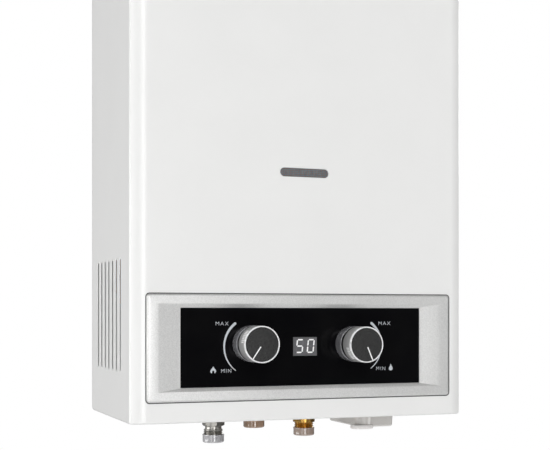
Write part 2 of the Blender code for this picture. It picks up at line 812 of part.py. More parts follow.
def slope_cutter():
    """The sloping recess, wide at the trim's face and narrow at the panel."""
    wide, narrow = border_edge(), panel_opening()
    face, depth = FRONT - TRIM_PROUD, FRONT + PANEL_SINK
    reach = OVERRUN / (depth - face)  # the slopes carry on past the face at the same angle
    form = bmesh.new()
    bmesh.ops.create_cube(form, size=1)
    for vert in form.verts:
        front = vert.co.y < 0
        x_side, z_side = (1 if vert.co.x > 0 else 0), (3 if vert.co.z > 0 else 2)
        share = 1 + reach if front else 0
        vert.co.x = narrow[x_side] + (wide[x_side] - narrow[x_side]) * share
        vert.co.z = narrow[z_side] + (wide[z_side] - narrow[z_side]) * share
        vert.co.y = depth + (face - depth) * share
    return place("trim_slopes", finished_mesh(form, "trim_slopes"), None, (0, 0, 0))


def control_trim():
    half = TRIM_WIDTH / 2
    face = block(
        "control_trim",
        (-half, FRONT - TRIM_PROUD, TRIM_BASE),
        (half, FRONT - GAP, TRIM_BASE + TRIM_HEIGHT),
        "silver_paint", edges="Y", radius=TRIM_CORNER,
    )
    round_front_rim(face)
    left, right, low, high = control_cutout()
    fit, wall = GAP, TRIM_WALL
    back = FRONT + TRIM_DEPTH
    skirt = block(
        "trim_skirt",
        (left + fit, FRONT - TRIM_PROUD / 2, low + fit),
        (right - fit, back, high - fit),
        edges="Y", radius=TRIM_CORNER,
    )
    sink = FRONT + PANEL_SINK
    pocket = block(
        "trim_pocket",
        (left + fit + wall, sink + TRIM_WALL, low + fit + wall),
        (right - fit - wall, back + OVERRUN, high - fit - wall),
    )
    left, right, low, high = panel_opening()
    ledge = sink + PANEL_THICKNESS + GAP
    seat = block(
        "trim_seat",
        (left - wall, sink + TRIM_WALL / 2, low - wall),
        (right + wall, ledge + TRIM_WALL, high + wall),
    )
    recess = block("trim_recess", (left, sink - OVERRUN, low), (right, ledge, high))
    inset = PANEL_LEDGE
    through = block(
        "trim_through",
        (left + inset, sink - OVERRUN, low + inset),
        (right - inset, back, high - inset),
    )
    join(face, skirt)
    cut(face, pocket)
    join(face, seat)
    cut(face, slope_cutter(), recess, through)
    return face


def round_front_rim(item):
    """Rounds the edge round a block's front face."""
    form = bmesh.new()
    form.from_mesh(item.data)
    front = min(vert.co.y for vert in form.verts)
    rim = [edge for edge in form.edges if all(abs(v.co.y - front) < GAP / 2 for v in edge.verts)]
    bmesh.ops.bevel(form, geom=rim, offset=TRIM_RIM, segments=2, profile=0.5, affect="EDGES")
    form.to_mesh(item.data)
    form.free()


def display_box(grow):
    """The display window's edges, grown all round: left, right, low, high."""
    wide, tall = DISPLAY_WIDTH / 2 + grow, DISPLAY_HEIGHT / 2 + grow
    return DISPLAY_X - wide, DISPLAY_X + wide, DISPLAY_CENTRE - tall, DISPLAY_CENTRE + tall


def control_panel():
    left, right, low, high = panel_opening()
    hole_left, hole_right, hole_low, hole_high = display_box(0)
    corners = [(hole_left, hole_low), (hole_right, hole_low), (hole_right, hole_high),
               (hole_left, hole_high)]
    holes = [corners]
    for x, height in ((GAS_KNOB_X, GAS_KNOB_HEIGHT), (WATER_KNOB_X, WATER_KNOB_HEIGHT)):
        holes.append(circle((x, height), spigot_radius() + GAP, ROUND))
    return outline(
        "control_panel",
        [(left + GAP, low + GAP), (right - GAP, low + GAP), (right - GAP, high - GAP),
         (left + GAP, high - GAP)],
        CABINET_DEPTH - PANEL_SINK - PANEL_THICKNESS,
        CABINET_DEPTH - PANEL_SINK,
        ALONG_Y,
        "black_gloss",
        holes,
    )


def display():
    left, right, low, high = display_box(-GAP)
    face = FRONT + PANEL_SINK
    back = face + PANEL_THICKNESS
    block("display_window", (left, face, low), (right, back, high), "display_grey")
    led_back = back + GAP + LED_DEPTH
    board = block(
        "display_board",
        (DISPLAY_X - BOARD_WIDTH / 2, led_back - GAP, DISPLAY_CENTRE - BOARD_HEIGHT / 2),
        (DISPLAY_X + BOARD_WIDTH / 2, led_back + BOARD_THICKNESS, DISPLAY_CENTRE + BOARD_HEIGHT / 2),
        "green_board",
    )
    join(board, block("led_module", (left, back + GAP, low), (right, led_back, high)))


# Knobs. Their own frame stands on the cabinet's front plane, with +Z ahead of it.


def stem_radius():
    return KNOB_RADIUS - COLLAR_WALL - KNOB_CLEARANCE


def spigot_radius():
    return KNOB_RADIUS - COLLAR_WALL + COLLAR_SPIGOT_WALL


def d_outline(radius, flat):
    """A round outline with one flat side, which faces +X."""
    half = math.degrees(math.acos((radius - flat) / radius))
    return arc((0, 0), radius, half, 360 - half, SMALL_ROUND)


def knob(prefix, x, height, valve_face):
    base = -PANEL_SINK
    place_at = (x, FRONT, height)
    inner = KNOB_RADIUS - COLLAR_WALL
    collar_top = base + COLLAR_LENGTH
    turned(
        f"{prefix}_knob_collar",
        [
            (KNOB_RADIUS - KNOB_CHAMFER, collar_top),
            (KNOB_RADIUS, collar_top - KNOB_CHAMFER),
            (KNOB_RADIUS, base + GAP),
            (spigot_radius(), base + GAP),
            (spigot_radius(), base - COLLAR_SPIGOT_LENGTH),
            (inner, base - COLLAR_SPIGOT_LENGTH),
            (inner, collar_top),
        ],
        place_at, "satin_metal", ALONG_Y, closed=True,
    )
    seat = KNOB_RADIUS - RING_WIDTH - GAP
    shoulder = KNOB_REACH - RING_LENGTH - GAP
    crown = KNOB_REACH - FACE_SINK - FACE_THICKNESS - GAP
    body_base = collar_top + GROOVE_LENGTH
    stem_end = collar_top - STEM_SUNK
    bore_top = stem_end + BORE_DEPTH
    body = turned(
        f"{prefix}_knob",
        [
            (0, crown),
            (seat, crown),
            (seat, shoulder),
            (KNOB_RADIUS, shoulder),
            (KNOB_RADIUS, body_base + KNOB_CHAMFER),
            (KNOB_RADIUS - KNOB_CHAMFER, body_base),
            (stem_radius(), body_base),
            (stem_radius(), stem_end),
            (0, stem_end),
        ],
        place_at, "satin_metal", ALONG_Y,
    )
    bore = outline(
        f"{prefix}_knob_bore",
        d_outline(SPINDLE_RADIUS + GAP, SPINDLE_FLAT),
        stem_end - OVERRUN,
        bore_top,
        ALONG_Z,
    )
    bore.rotation_euler = ALONG_Y.to_euler()
    bore.location = Vector(place_at) + ALONG_Y @ Vector((0, 0, (stem_end - OVERRUN + bore_top) / 2))
    cut(body, bore)
    turned(
        f"{prefix}_knob_ring",
        [
            (KNOB_RADIUS - KNOB_CHAMFER, KNOB_REACH),
            (KNOB_RADIUS, KNOB_REACH - KNOB_CHAMFER),
            (KNOB_RADIUS, KNOB_REACH - RING_LENGTH),
            (KNOB_RADIUS - RING_WIDTH, KNOB_REACH - RING_LENGTH),
            (KNOB_RADIUS - RING_WIDTH, KNOB_REACH),
        ],
        place_at, "bright_chrome", ALONG_Y, closed=True,
    )
    turned(
        f"{prefix}_knob_face",
        [
            (0, KNOB_REACH - FACE_SINK),
            (seat, KNOB_REACH - FACE_SINK),
            (seat, KNOB_REACH - FACE_SINK - FACE_THICKNESS),
            (0, KNOB_REACH - FACE_SINK - FACE_THICKNESS),
        ],
        place_at, "dark_face", ALONG_Y,
    )
    tip = bore_top - GAP
    inside = valve_face - CABINET_DEPTH - SPINDLE_IN_VALVE
    spindle = turned(
        f"{prefix}_spindle",
        [(0, tip), (SPINDLE_RADIUS, tip), (SPINDLE_RADIUS, inside), (0, inside)],
        place_at, "brass", ALONG_Y, SMALL_ROUND,
    )
    flat = block(
        f"{prefix}_spindle_flat",
        (x + SPINDLE_RADIUS - SPINDLE_FLAT - GAP, FRONT - tip - OVERRUN, height - SPINDLE_RADIUS - GAP),
        (x + SPINDLE_RADIUS + OVERRUN, FRONT - tip + SPINDLE_FLAT_LENGTH,
         height + SPINDLE_RADIUS + GAP),
    )
    cut(spindle, flat)


# Back plate and hanging rail


def plate_half():
    """Half the back plate's width, inside the bends between the cover's sides and hem."""
    return HALF_WIDTH - HEM_BEND


def back_plate():
    half = plate_half()
    low = SHEET + GAP
    pan = block(
        "back_plate", (-half, -FLANGE_DEPTH, low), (half, 0, PLATE_TOP), "zinc_sheet",
        edges="Z", radius=PLATE_BEND, steps=2,
    )
    hollow = block(
        "back_plate_hollow",
        (-half + PLATE, -FLANGE_DEPTH - OVERRUN, low + PLATE),
        (half - PLATE, -PLATE, PLATE_TOP + OVERRUN),
    )
    shelf = block(
        "back_plate_shelf", (-half, -SHELF_DEPTH, low), (half, -FLANGE_DEPTH + PLATE, low + PLATE),
    )
    cut(pan, hollow)
    join(pan, shelf)
    for side in (-1, 1):
        x = side * BEAD_X
        form = [
            ("bead_rise", BEAD_RADIUS + PLATE, PLATE / 2, PLATE + BEAD_DEPTH, join),
            ("bead_hollow", BEAD_RADIUS, -OVERRUN, BEAD_DEPTH, cut),
        ]
        for name, radius, start, end, work in form:
            ring = arc((x, BEAD_TOP), radius, 0, 180) + arc((x, BEAD_BASE), radius, 180, 360)
            work(pan, outline(f"{name}_{side}", ring, start, end, ALONG_Y))
        at = (side * FIX_HOLE_X, FIX_HOLE_HEIGHT)
        hole = outline(
            f"fixing_hole_{side}", circle(at, FIX_HOLE_RADIUS), -OVERRUN, PLATE + OVERRUN, ALONG_Y
        )
        screw_at = (side * (HALF_WIDTH - COVER_SCREW_INSET), -COVER_SCREW_DEPTH)
        pilot = cylinder(
            f"screw_pilot_{side}", SCREW_RADIUS + GAP, (*screw_at, 0),
            (*screw_at, low + PLATE + OVERRUN), sides=SMALL_ROUND,
        )
        cut(pan, hole, pilot)
    for name, x in (("hot", HOT_X), ("gas", GAS_X), ("cold", COLD_X)):
        at = (x, -PIPE_DEPTH)
        hole = cylinder(f"shelf_hole_{name}", SHELF_HOLE, (*at, 0), (*at, low + PLATE + OVERRUN))
        cut(pan, hole)
    ring = box_outline(GAP)
    cut(pan, outline("shelf_box_hole", ring, 0, low + PLATE + OVERRUN, ALONG_Z))
    return pan


def hanging_rail():
    half = plate_half()
    slots = []
    for side in (-1, 1):
        x = side * KEYHOLE_X
        dip = math.degrees(math.asin(KEYHOLE_SLOT / KEYHOLE_HEAD))
        head = arc((x, HANG_HEIGHT - KEYHOLE_DROP), KEYHOLE_HEAD, 90 + dip, 450 - dip, SMALL_ROUND)
        slots.append(head + arc((x, HANG_HEIGHT), KEYHOLE_SLOT, 0, 180))
    low, top = PLATE_TOP + GAP, CABINET_HEIGHT - SHEET - GAP
    rail = outline(
        "hanging_rail", [(-half, low), (half, low), (half, top), (-half, top)], 0, PLATE, ALONG_Y,
        "zinc_sheet", slots,
    )
    return join(rail, block("rail_flange", (-half, -RAIL_FLANGE, top - PLATE), (half, 0, top)))


# Pipe connections and caps


def shelf_flange(radius):
    """The part of a fitting's profile that rests on the back plate's shelf."""
    base = SHEET + GAP + PLATE + GAP
    return [
        (radius, base + FITTING_FLANGE),
        (FITTING_FLANGE_RADIUS, base + FITTING_FLANGE),
        (FITTING_FLANGE_RADIUS, base),
        (radius, base),
    ]


def fitting(name, x, profile, finish, hexagon=None):
    at = (x, -PIPE_DEPTH)
    top, end = profile[0][1], profile[-1][1]
    body = turned(name, [(0, top), *profile, (0, end)], (*at, 0), finish)
    if hexagon:
        width, high, low = hexagon
        corner = width / 2 / math.cos(math.pi / HEX_SIDES)
        join(body, cylinder(f"{name}_hex", corner, (*at, low), (*at, high), sides=HEX_SIDES))
    bore = cylinder(
        f"{name}_bore", FITTING_BORE, (*at, end - OVERRUN), (*at, top + OVERRUN), sides=SMALL_ROUND
    )
    return cut(body, bore)


def thread_cap(name, x, end):
    """A plastic cap pushed over a thread; its origin is on the thread's axis."""
    inner = THREAD_RADIUS + GAP
    base = end - CAP_SPARE - CAP_FLOOR
    turned(
        name,
        [
            (inner, base + CAP_LENGTH),
            (CAP_RADIUS, base + CAP_LENGTH),
            (CAP_RADIUS, base + CAP_CHAMFER),
            (CAP_RADIUS - CAP_CHAMFER, base),
            (0, base),
            (0, base + CAP_FLOOR),
            (inner, base + CAP_FLOOR),
        ],
        (x, -PIPE_DEPTH, 0), "clear_grey_plastic", closed=True,
    )


def connections():
    fitting(
        "hot_outlet_fitting", HOT_X,
        [
            (HOT_SHANK_RADIUS, HOT_TOP),
            *shelf_flange(HOT_SHANK_RADIUS),
            (HOT_SHANK_RADIUS, HOT_HEX_BASE + GAP),
            (HOT_NECK_RADIUS, HOT_HEX_BASE + GAP),
            (HOT_NECK_RADIUS, HOT_NECK_BASE),
            (THREAD_RADIUS, HOT_NECK_BASE),
            (THREAD_RADIUS, HOT_END),
        ],
        "grey_steel", (HOT_HEX, HOT_HEX_TOP, HOT_HEX_BASE),
    )
    for name, x, body_base, end in (
        ("gas_inlet_fitting", GAS_X, GAS_BODY_BASE, GAS_END),
        ("cold_inlet_fitting", COLD_X, BRASS_BODY_BASE, COLD_END),
    ):
        fitting(
            name, x,
            [
                (BRASS_BODY_RADIUS, INLET_TOP),
                *shelf_flange(BRASS_BODY_RADIUS),
                (BRASS_BODY_RADIUS, body_base),
                (THREAD_RADIUS, body_base),
                (THREAD_RADIUS, end),
            ],
            "brass",
        )
    for name, x, end in (
        ("hot_thread_cap", HOT_X, HOT_END),
        ("gas_thread_cap", GAS_X, GAS_END),
        ("cold_thread_cap", COLD_X, COLD_END),
    ):
        thread_cap(name, x, end)


# Valve group


def gas_valve():
    depth, link = -VALVE_DEPTH, LINK_HEIGHT
    body = block(
        "gas_valve",
        (GAS_BODY_LEFT, -GAS_BODY_FRONT, GAS_BODY_LOW),
        (GAS_BODY_RIGHT, -GAS_BODY_BACK, GAS_BODY_TOP),
        "cast_aluminium", edges="X", radius=GAS_BODY_CORNER,
    )
    inside = GAS_BODY_RIGHT - GAS_BODY_CORNER
    boss = cylinder("gas_link_boss", GAS_BOSS_RADIUS, (inside, depth, link), (GAS_BOSS_RIGHT, depth, link))
    arm = cylinder(
        "gas_inlet_arm", INLET_RADIUS, (GAS_X, depth, INLET_HEIGHT), (GAS_X, -PIPE_DEPTH, INLET_HEIGHT)
    )
    drop = cylinder(
        "gas_inlet_drop", INLET_RADIUS, (GAS_X, -PIPE_DEPTH, INLET_TOP + GAP),
        (GAS_X, -PIPE_DEPTH, INLET_HEIGHT + INLET_RADIUS),
    )
    front = -GAS_BODY_FRONT
    boss_face = front - SPINDLE_BOSS_LENGTH
    nose = cylinder(
        "gas_spindle_boss", SPINDLE_BOSS_RADIUS, (GAS_KNOB_X, front + GAS_BODY_CORNER, GAS_KNOB_HEIGHT),
        (GAS_KNOB_X, boss_face, GAS_KNOB_HEIGHT),
    )
    top = GAS_BODY_TOP
    outlet = cylinder(
        "gas_outlet_boss", GAS_OUTLET_RADIUS, (GAS_OUTLET_X, depth, top - GAS_BODY_CORNER),
        (GAS_OUTLET_X, depth, top + GAS_OUTLET_LENGTH),
    )
    join(body, boss, arm, drop, nose, outlet)
    sleeve = cylinder(
        "gas_spindle_hole", SPINDLE_RADIUS + GAP, (GAS_KNOB_X, boss_face - OVERRUN, GAS_KNOB_HEIGHT),
        (GAS_KNOB_X, boss_face + SPINDLE_IN_VALVE + GAP, GAS_KNOB_HEIGHT), sides=SMALL_ROUND,
    )
    rod_end = GAS_BOSS_RIGHT - ROD_SUNK - ROD_STROKE - GAP
    rod_hole = cylinder(
        "gas_rod_hole", ROD_RADIUS + GAP, (rod_end, depth, link),
        (GAS_BOSS_RIGHT + OVERRUN, depth, link), sides=SMALL_ROUND,
    )
    return cut(body, sleeve, rod_hole)


def solenoid():
    start = GAS_BODY_LEFT - GAP
    coil_end = start - SOLENOID_LENGTH
    at = (-VALVE_DEPTH, SOLENOID_HEIGHT)
    body = cylinder("solenoid_valve", SOLENOID_RADIUS, (start, *at), (coil_end, *at), "black_plastic")
    tip = cylinder(
        "solenoid_tip", SOLENOID_TIP_RADIUS, (coil_end + GAP, *at),
        (coil_end - SOLENOID_TIP_LENGTH, *at), sides=SMALL_ROUND,
    )
    return join(body, tip)


def water_valve():
    depth, link = -VALVE_DEPTH, LINK_HEIGHT
    cover_right = WATER_COVER_LEFT + WATER_COVER_THICKNESS
    flange = cover_right + GAP
    left = flange + WATER_FLANGE - GAP
    right = left + WATER_BODY_LENGTH
    body = block(
        "water_valve",
        (left, -WATER_BODY_FRONT, WATER_BODY_LOW),
        (right, -WATER_BODY_BACK, WATER_BODY_TOP),
        "brass", edges="X", radius=WATER_BODY_CORNER,
    )
    disc = cylinder("water_valve_flange", DIAPHRAGM_RADIUS, (flange, depth, link),
                    (flange + WATER_FLANGE, depth, link))
    arm = cylinder("water_inlet_arm", INLET_RADIUS, (COLD_X, depth, INLET_HEIGHT),
                   (COLD_X, -PIPE_DEPTH, INLET_HEIGHT))
    drop = cylinder("water_inlet_drop", INLET_RADIUS, (COLD_X, -PIPE_DEPTH, INLET_TOP + GAP),
                    (COLD_X, -PIPE_DEPTH, INLET_HEIGHT + INLET_RADIUS))
    front = -WATER_BODY_FRONT
    face = front - SPINDLE_BOSS_LENGTH
    nose = cylinder("water_spindle_boss", SPINDLE_BOSS_RADIUS,
                    (WATER_KNOB_X, front + WATER_BODY_CORNER, WATER_KNOB_HEIGHT),
                    (WATER_KNOB_X, face, WATER_KNOB_HEIGHT))
    outlet = cylinder("water_outlet_boss", GAS_OUTLET_RADIUS,
                      (WATER_OUTLET_X, depth, WATER_BODY_TOP - WATER_BODY_CORNER),
                      (WATER_OUTLET_X, depth, WATER_BODY_TOP + WATER_OUTLET_LENGTH))
    join(body, disc, arm, drop, nose, outlet)
    sleeve = cylinder("water_spindle_hole", SPINDLE_RADIUS + GAP,
                      (WATER_KNOB_X, face - OVERRUN, WATER_KNOB_HEIGHT),
                      (WATER_KNOB_X, face + SPINDLE_IN_VALVE + GAP, WATER_KNOB_HEIGHT),
                      sides=SMALL_ROUND)
    plug_hole = cylinder("drain_hole", PLUG_SHANK_RADIUS + GAP,
                         (PLUG_X, depth, WATER_BODY_LOW - OVERRUN),
                         (PLUG_X, depth, WATER_BODY_LOW + PLUG_SHANK_LENGTH + GAP), sides=SMALL_ROUND)
    cut(body, sleeve, plug_hole)
    cover = turned(
        "water_valve_cover",
        [
            (0, WATER_COVER_LEFT),
            (DIAPHRAGM_CROWN, WATER_COVER_LEFT),
            (DIAPHRAGM_RADIUS, WATER_COVER_LEFT + DIAPHRAGM_STEP),
            (DIAPHRAGM_RADIUS, cover_right),
            (0, cover_right),
        ][::-1],
        (0, depth, link), "brass", ALONG_X,
    )
    rod_hole = cylinder("water_rod_hole", ROD_RADIUS + GAP,
                        (WATER_COVER_LEFT - OVERRUN, depth, link),
                        (WATER_COVER_LEFT + ROD_SUNK + GAP, depth, link), sides=SMALL_ROUND)
    cut(cover, rod_hole)


def drain_plug():
    """The plug under the water valve; its origin is on its own axis."""
    top = WATER_BODY_LOW - GAP
    base = top - PLUG_LENGTH
    plug = turned(
        "drain_plug",
        [
            (0, WATER_BODY_LOW + PLUG_SHANK_LENGTH),
            (PLUG_SHANK_RADIUS, WATER_BODY_LOW + PLUG_SHANK_LENGTH),
            (PLUG_SHANK_RADIUS, top),
            (PLUG_RADIUS, top),
            (PLUG_RADIUS, base),
            (0, base),
        ],
        (PLUG_X, -VALVE_DEPTH, 0), "red_plastic", sides=SMALL_ROUND,
    )
    wing = block(
        "drain_plug_wing",
        (PLUG_X - PLUG_WING, -VALVE_DEPTH - PLUG_WING_THICKNESS / 2, base - PLUG_HEAD_LENGTH),
        (PLUG_X + PLUG_WING, -VALVE_DEPTH + PLUG_WING_THICKNESS / 2, base + GAP),
        edges="Y", radius=PLUG_WING_THICKNESS,
    )
    join(plug, wing)


def push_rod():
    depth, link = -VALVE_DEPTH, LINK_HEIGHT
    rod = cylinder("push_rod", ROD_RADIUS, (GAS_BOSS_RIGHT - ROD_SUNK, depth, link),
                   (WATER_COVER_LEFT + ROD_SUNK, depth, link), "grey_steel", sides=SMALL_ROUND)
    plate_right = WATER_COVER_LEFT - GAP
    plate = block(
        "push_rod_plate",
        (plate_right - ROD_PLATE_THICKNESS, depth - ROD_PLATE_HALF, ROD_PLATE_LOW),
        (plate_right, depth + ROD_PLATE_HALF, ROD_PLATE_TOP),
        edges="X", radius=ROD_PLATE_THICKNESS,
    )
    join(rod, plate)


def microswitch():
    depth = -VALVE_DEPTH
    base = LINK_HEIGHT + GAS_BOSS_RADIUS + GAP
    body = block("microswitch", (SWITCH_LEFT, depth - SWITCH_HALF, base),
                 (SWITCH_RIGHT, depth + SWITCH_HALF, base + SWITCH_HEIGHT), "black_plastic")
    height = base + PLUNGER_HEIGHT
    hole_end = SWITCH_RIGHT - PLUNGER_SUNK - ROD_STROKE - GAP
    hole = cylinder("plunger_hole", PLUNGER_RADIUS + GAP, (hole_end, depth, height),
                    (SWITCH_RIGHT + OVERRUN, depth, height), sides=SMALL_ROUND)
    cut(body, hole)
    tip = WATER_COVER_LEFT - GAP - ROD_PLATE_THICKNESS - GAP
    cylinder("microswitch_plunger", PLUNGER_RADIUS, (SWITCH_RIGHT - PLUNGER_SUNK, depth, height),
             (tip, depth, height), "red_plastic", sides=SMALL_ROUND)


# Burner and manifold


def blade_x(number):
    return (number - (BLADE_COUNT - 1) / 2) * BLADE_PITCH


def burner():
    """Ten flat burner tubes on two cross rails: each takes gas and air at its low front mouth."""
    front, back = -BURNER_FRONT, -BURNER_BACK
    half = BLADE_THICKNESS / 2
    head_low = BURNER_TOP - BURNER_HEAD
    tube_top = BURNER_BASE + VENTURI_HEIGHT
    rise = back - VENTURI_REAR
    shape = [
        (front, BURNER_BASE),
        (back - BLADE_THICKNESS, BURNER_BASE),
        (back, BURNER_BASE + BLADE_THICKNESS),
        (back, BURNER_TOP),
        (front, BURNER_TOP),
        (front, head_low),
        (rise - BLADE_THICKNESS, head_low),
        (rise, head_low - BLADE_THICKNESS),
        (rise, tube_top + BLADE_THICKNESS),
        (rise - BLADE_THICKNESS, tube_top),
        (front, tube_top),
    ]
    reach = CHAMBER_WIDTH / 2 - CHAMBER_SHEET / 2
    rail_low, rail_top = head_low + BURNER_RAIL, CHAMBER_BASE - GAP
    frame = block("burner", (-reach, front - BURNER_RAIL, rail_low), (reach, front + GAP, rail_top),
                  "grey_steel")
    rear = block("burner_rear_rail", (-reach, back - GAP, rail_low),
                 (reach, back + BURNER_RAIL, rail_top))
    join(frame, rear)
    for number in range(BLADE_COUNT):
        x = blade_x(number)
        height = BURNER_BASE + VENTURI_HEIGHT / 2
        blade = outline(f"burner_blade_{number}", shape, x - half, x + half, ALONG_X)
        mouth = cylinder(f"burner_mouth_{number}", MOUTH_RADIUS, (x, front - OVERRUN, height),
                         (x, front + VENTURI_REAR, height), sides=SMALL_ROUND // 2)
        join(frame, blade)
        cut(frame, mouth)


def gas_manifold():
    height = BURNER_BASE + VENTURI_HEIGHT / 2
    depth = -MANIFOLD_DEPTH
    reach = blade_x(BLADE_COUNT - 1) + MANIFOLD_SPARE
    pipe = cylinder("gas_manifold", MANIFOLD_RADIUS, (-reach, depth, height), (reach, depth, height),
                    "cast_aluminium", sides=SMALL_ROUND)
    for number in range(BLADE_COUNT):
        x = blade_x(number)
        tip = -BURNER_FRONT - NOZZLE_GAP
        join(pipe, cylinder(f"nozzle_{number}", NOZZLE_RADIUS, (x, depth, height), (x, tip, height),
                            sides=SMALL_ROUND // 2))
    base = GAS_BODY_TOP + GAS_OUTLET_LENGTH + GAP
    feed = tube(
        "manifold_feed",
        bent_route(
            [(GAS_OUTLET_X, -VALVE_DEPTH, base), (GAS_OUTLET_X, -VALVE_DEPTH, FEED_TURN_HEIGHT),
             (GAS_OUTLET_X, depth, FEED_TURN_HEIGHT), (GAS_OUTLET_X, depth, height)],
            FEED_BEND,
        ),
        FEED_RADIUS,
    )
    join(pipe, feed)


# Combustion chamber, wound pipe and fin pack


def chamber_box(grow=0.0):
    """The chamber's plan, grown all round: left, right, front and back."""
    half = CHAMBER_WIDTH / 2 + grow
    return -half, half, -CHAMBER_FRONT - grow, -CHAMBER_BACK + grow


def combustion_chamber():
    left, right, front, back = chamber_box()
    wall = CHAMBER_SHEET
    outer = rounded_rectangle(left, right, front, back, [CHAMBER_CORNER] * 4)
    inner = rounded_rectangle(
        left + wall, right - wall, front + wall, back - wall, [CHAMBER_CORNER - wall] * 4
    )
    chamber = outline("combustion_chamber", outer, CHAMBER_BASE, CHAMBER_TOP, ALONG_Z, "copper",
                      [inner])
    sight = outline(
        "sight_opening", slot_outline((0, SLOT_CENTRE), SIGHT_LENGTH, SIGHT_HEIGHT),
        CHAMBER_FRONT - OVERRUN, CHAMBER_FRONT + OVERRUN, ALONG_Y,
    )
    return cut(chamber, sight)


def fin_tube_depth(number):
    return -(CHAMBER_FRONT + CHAMBER_BACK) / 2 + (number - (FIN_TUBES - 1) / 2) * FIN_TUBE_PITCH


def fin_tube_end():
    """How far the fin pack's tubes reach to each side."""
    return CHAMBER_WIDTH / 2 + FIN_TUBE_PROUD


def fin_middle():
    return CHAMBER_TOP + GAP + FIN_HEIGHT / 2


def coil_plan():
    """One turn round the chamber, from the middle of its front right bend."""
    left, right, front, back = chamber_box(PIPE_RADIUS + GAP)
    ring = rounded_rectangle(left, right, front, back, [COIL_BEND] * 4, COIL_BEND_STEPS)
    start = 2 * (COIL_BEND_STEPS + 1) - 1
    return [Vector((x, y, 0)) for x, y in ring[start:] + ring[:start]]


def coil_route():
    """A pipe wound round the chamber, climbing evenly, and then led up to the first fin tube."""
    ring = coil_plan()
    lengths = [(ahead - at).length for at, ahead in zip(ring, ring[1:] + ring[:1])]
    route, height = [], COIL_BASE
    for step in range(COIL_TURNS * len(ring) - COIL_BEND_STEPS + 1):
        index = step % len(ring)
        route.append(ring[index] + Vector((0, 0, height)))
        height += COIL_RISE * lengths[index] / sum(lengths)
    last = route[-1]
    depth = fin_tube_depth(0)
    corners = [
        last,
        (LINK_X, last.y, last.z),
        (LINK_X, depth, last.z),
        (LINK_X, depth, fin_middle()),
        (fin_tube_end() + GAP, depth, fin_middle()),
    ]
    return route + bent_route(corners, LINK_BEND)[1:]


def coil_pipe():
    tube("coil_pipe", coil_route(), PIPE_RADIUS, "copper")


def fin_pack():
    left, right, front, back = chamber_box(-FIN_INSET)
    base = CHAMBER_TOP + GAP
    top = base + FIN_HEIGHT
    middle = (base + top) / 2
    pack = block("fin_pack", (left - FIN_INSET, front, base), (left - FIN_INSET + FIN_END, back, top),
                 "copper")
    join(pack, block("fin_end_right", (right + FIN_INSET - FIN_END, front, base),
                     (right + FIN_INSET, back, top)))
    for number in range(FIN_COUNT):
        x = (number - (FIN_COUNT - 1) / 2) * FIN_PITCH
        join(pack, block(f"fin_{number}", (x - FIN_THICKNESS / 2, front, base),
                         (x + FIN_THICKNESS / 2, back, top)))
    end = fin_tube_end()
    for number in range(FIN_TUBES):
        y = fin_tube_depth(number)
        join(pack, cylinder(f"fin_tube_{number}", FIN_TUBE_RADIUS, (-end, y, middle),
                            (end, y, middle), sides=SMALL_ROUND // 2))
    for number, side in ((0, -1), (1, 1)):
        ends = arc((0, fin_tube_depth(number) + FIN_TUBE_PITCH / 2), FIN_TUBE_PITCH / 2, -90, 90, 8)
        route = [(side * (end - GAP + x), y, middle) for x, y in ends]
        join(pack, tube(f"fin_bend_{number}", route, PIPE_RADIUS))


# Water pipes


def water_pipes():
    depth = fin_tube_depth(FIN_TUBES - 1)
    tube(
        "hot_water_pipe",
        bent_route(
            [
                (HOT_X, -PIPE_DEPTH, HOT_TOP + GAP),
                (HOT_X, -PIPE_DEPTH, HOT_TURN_HEIGHT),
                (-RISER_X, depth, HOT_TURN_HEIGHT),
                (-RISER_X, depth, fin_middle()),
                (-fin_tube_end() - GAP, depth, fin_middle()),
            ],
            PIPE_BEND,
        ),
        PIPE_RADIUS,
        "copper",
    )
    start = coil_plan()[0]
    tube(
        "cold_water_pipe",
        bent_route(
            [
                (WATER_OUTLET_X, -VALVE_DEPTH, WATER_BODY_TOP + WATER_OUTLET_LENGTH + GAP),
                (WATER_OUTLET_X, -VALVE_DEPTH, COLD_TURN_HEIGHT),
                (start.x, -COLD_RISER_DEPTH, COLD_TURN_HEIGHT),
                (start.x, -COLD_RISER_DEPTH, COIL_BASE),
                (start.x, start.y - GAP, COIL_BASE),
            ],
            PIPE_BEND,
        ),
        PIPE_RADIUS,
        "copper",
    )


# Flue


def flue_hood():
    """The draught diverter: a square skirt that narrows to a round neck, in one open sheet."""
    left, right, front, back = chamber_box()
    base = CHAMBER_TOP + FIN_HEIGHT + 2 * GAP
    square = rounded_rectangle(left, right, front, back, [CHAMBER_CORNER] * 4)
    neck = FLUE_RADIUS - FLUE_WALL - GAP
    count = len(square)
    round_ring = arc((0, -FLUE_DEPTH), neck, 180, 540, count)[:-1]
    half_step = Matrix.Rotation(math.pi / count, 2)
    centre = Vector((0, -FLUE_DEPTH))
    round_ring = [centre + half_step @ (Vector(point) - centre) for point in round_ring]
    rings = (
        (square, base),
        (square, base + HOOD_SKIRT),
        (round_ring, HOOD_NECK_BASE),
        (round_ring, HOOD_NECK_TOP),
    )
    form = bmesh.new()
    rows = [[form.verts.new((x, y, height)) for x, y in ring] for ring, height in rings]
    for low, high in zip(rows, rows[1:]):
        for i in range(count):
            form.faces.new((low[i - 1], low[i], high[i], high[i - 1]))
    mesh = bpy.data.meshes.new("flue_hood")
    form.to_mesh(mesh)
    form.free()
    hood = place("flue_hood", mesh, "zinc_sheet", (0, 0, 0))
    solid = hood.modifiers.new("sheet", "SOLIDIFY")
    solid.thickness = SHEET
    solid.offset = -1
    slot = outline(
        "draught_slot", slot_outline((0, HOOD_SLOT_CENTRE), HOOD_SLOT_LENGTH, HOOD_SLOT_HEIGHT),
        CHAMBER_FRONT - OVERRUN, CHAMBER_FRONT + OVERRUN, ALONG_Y,
    )
    cut(hood, slot)


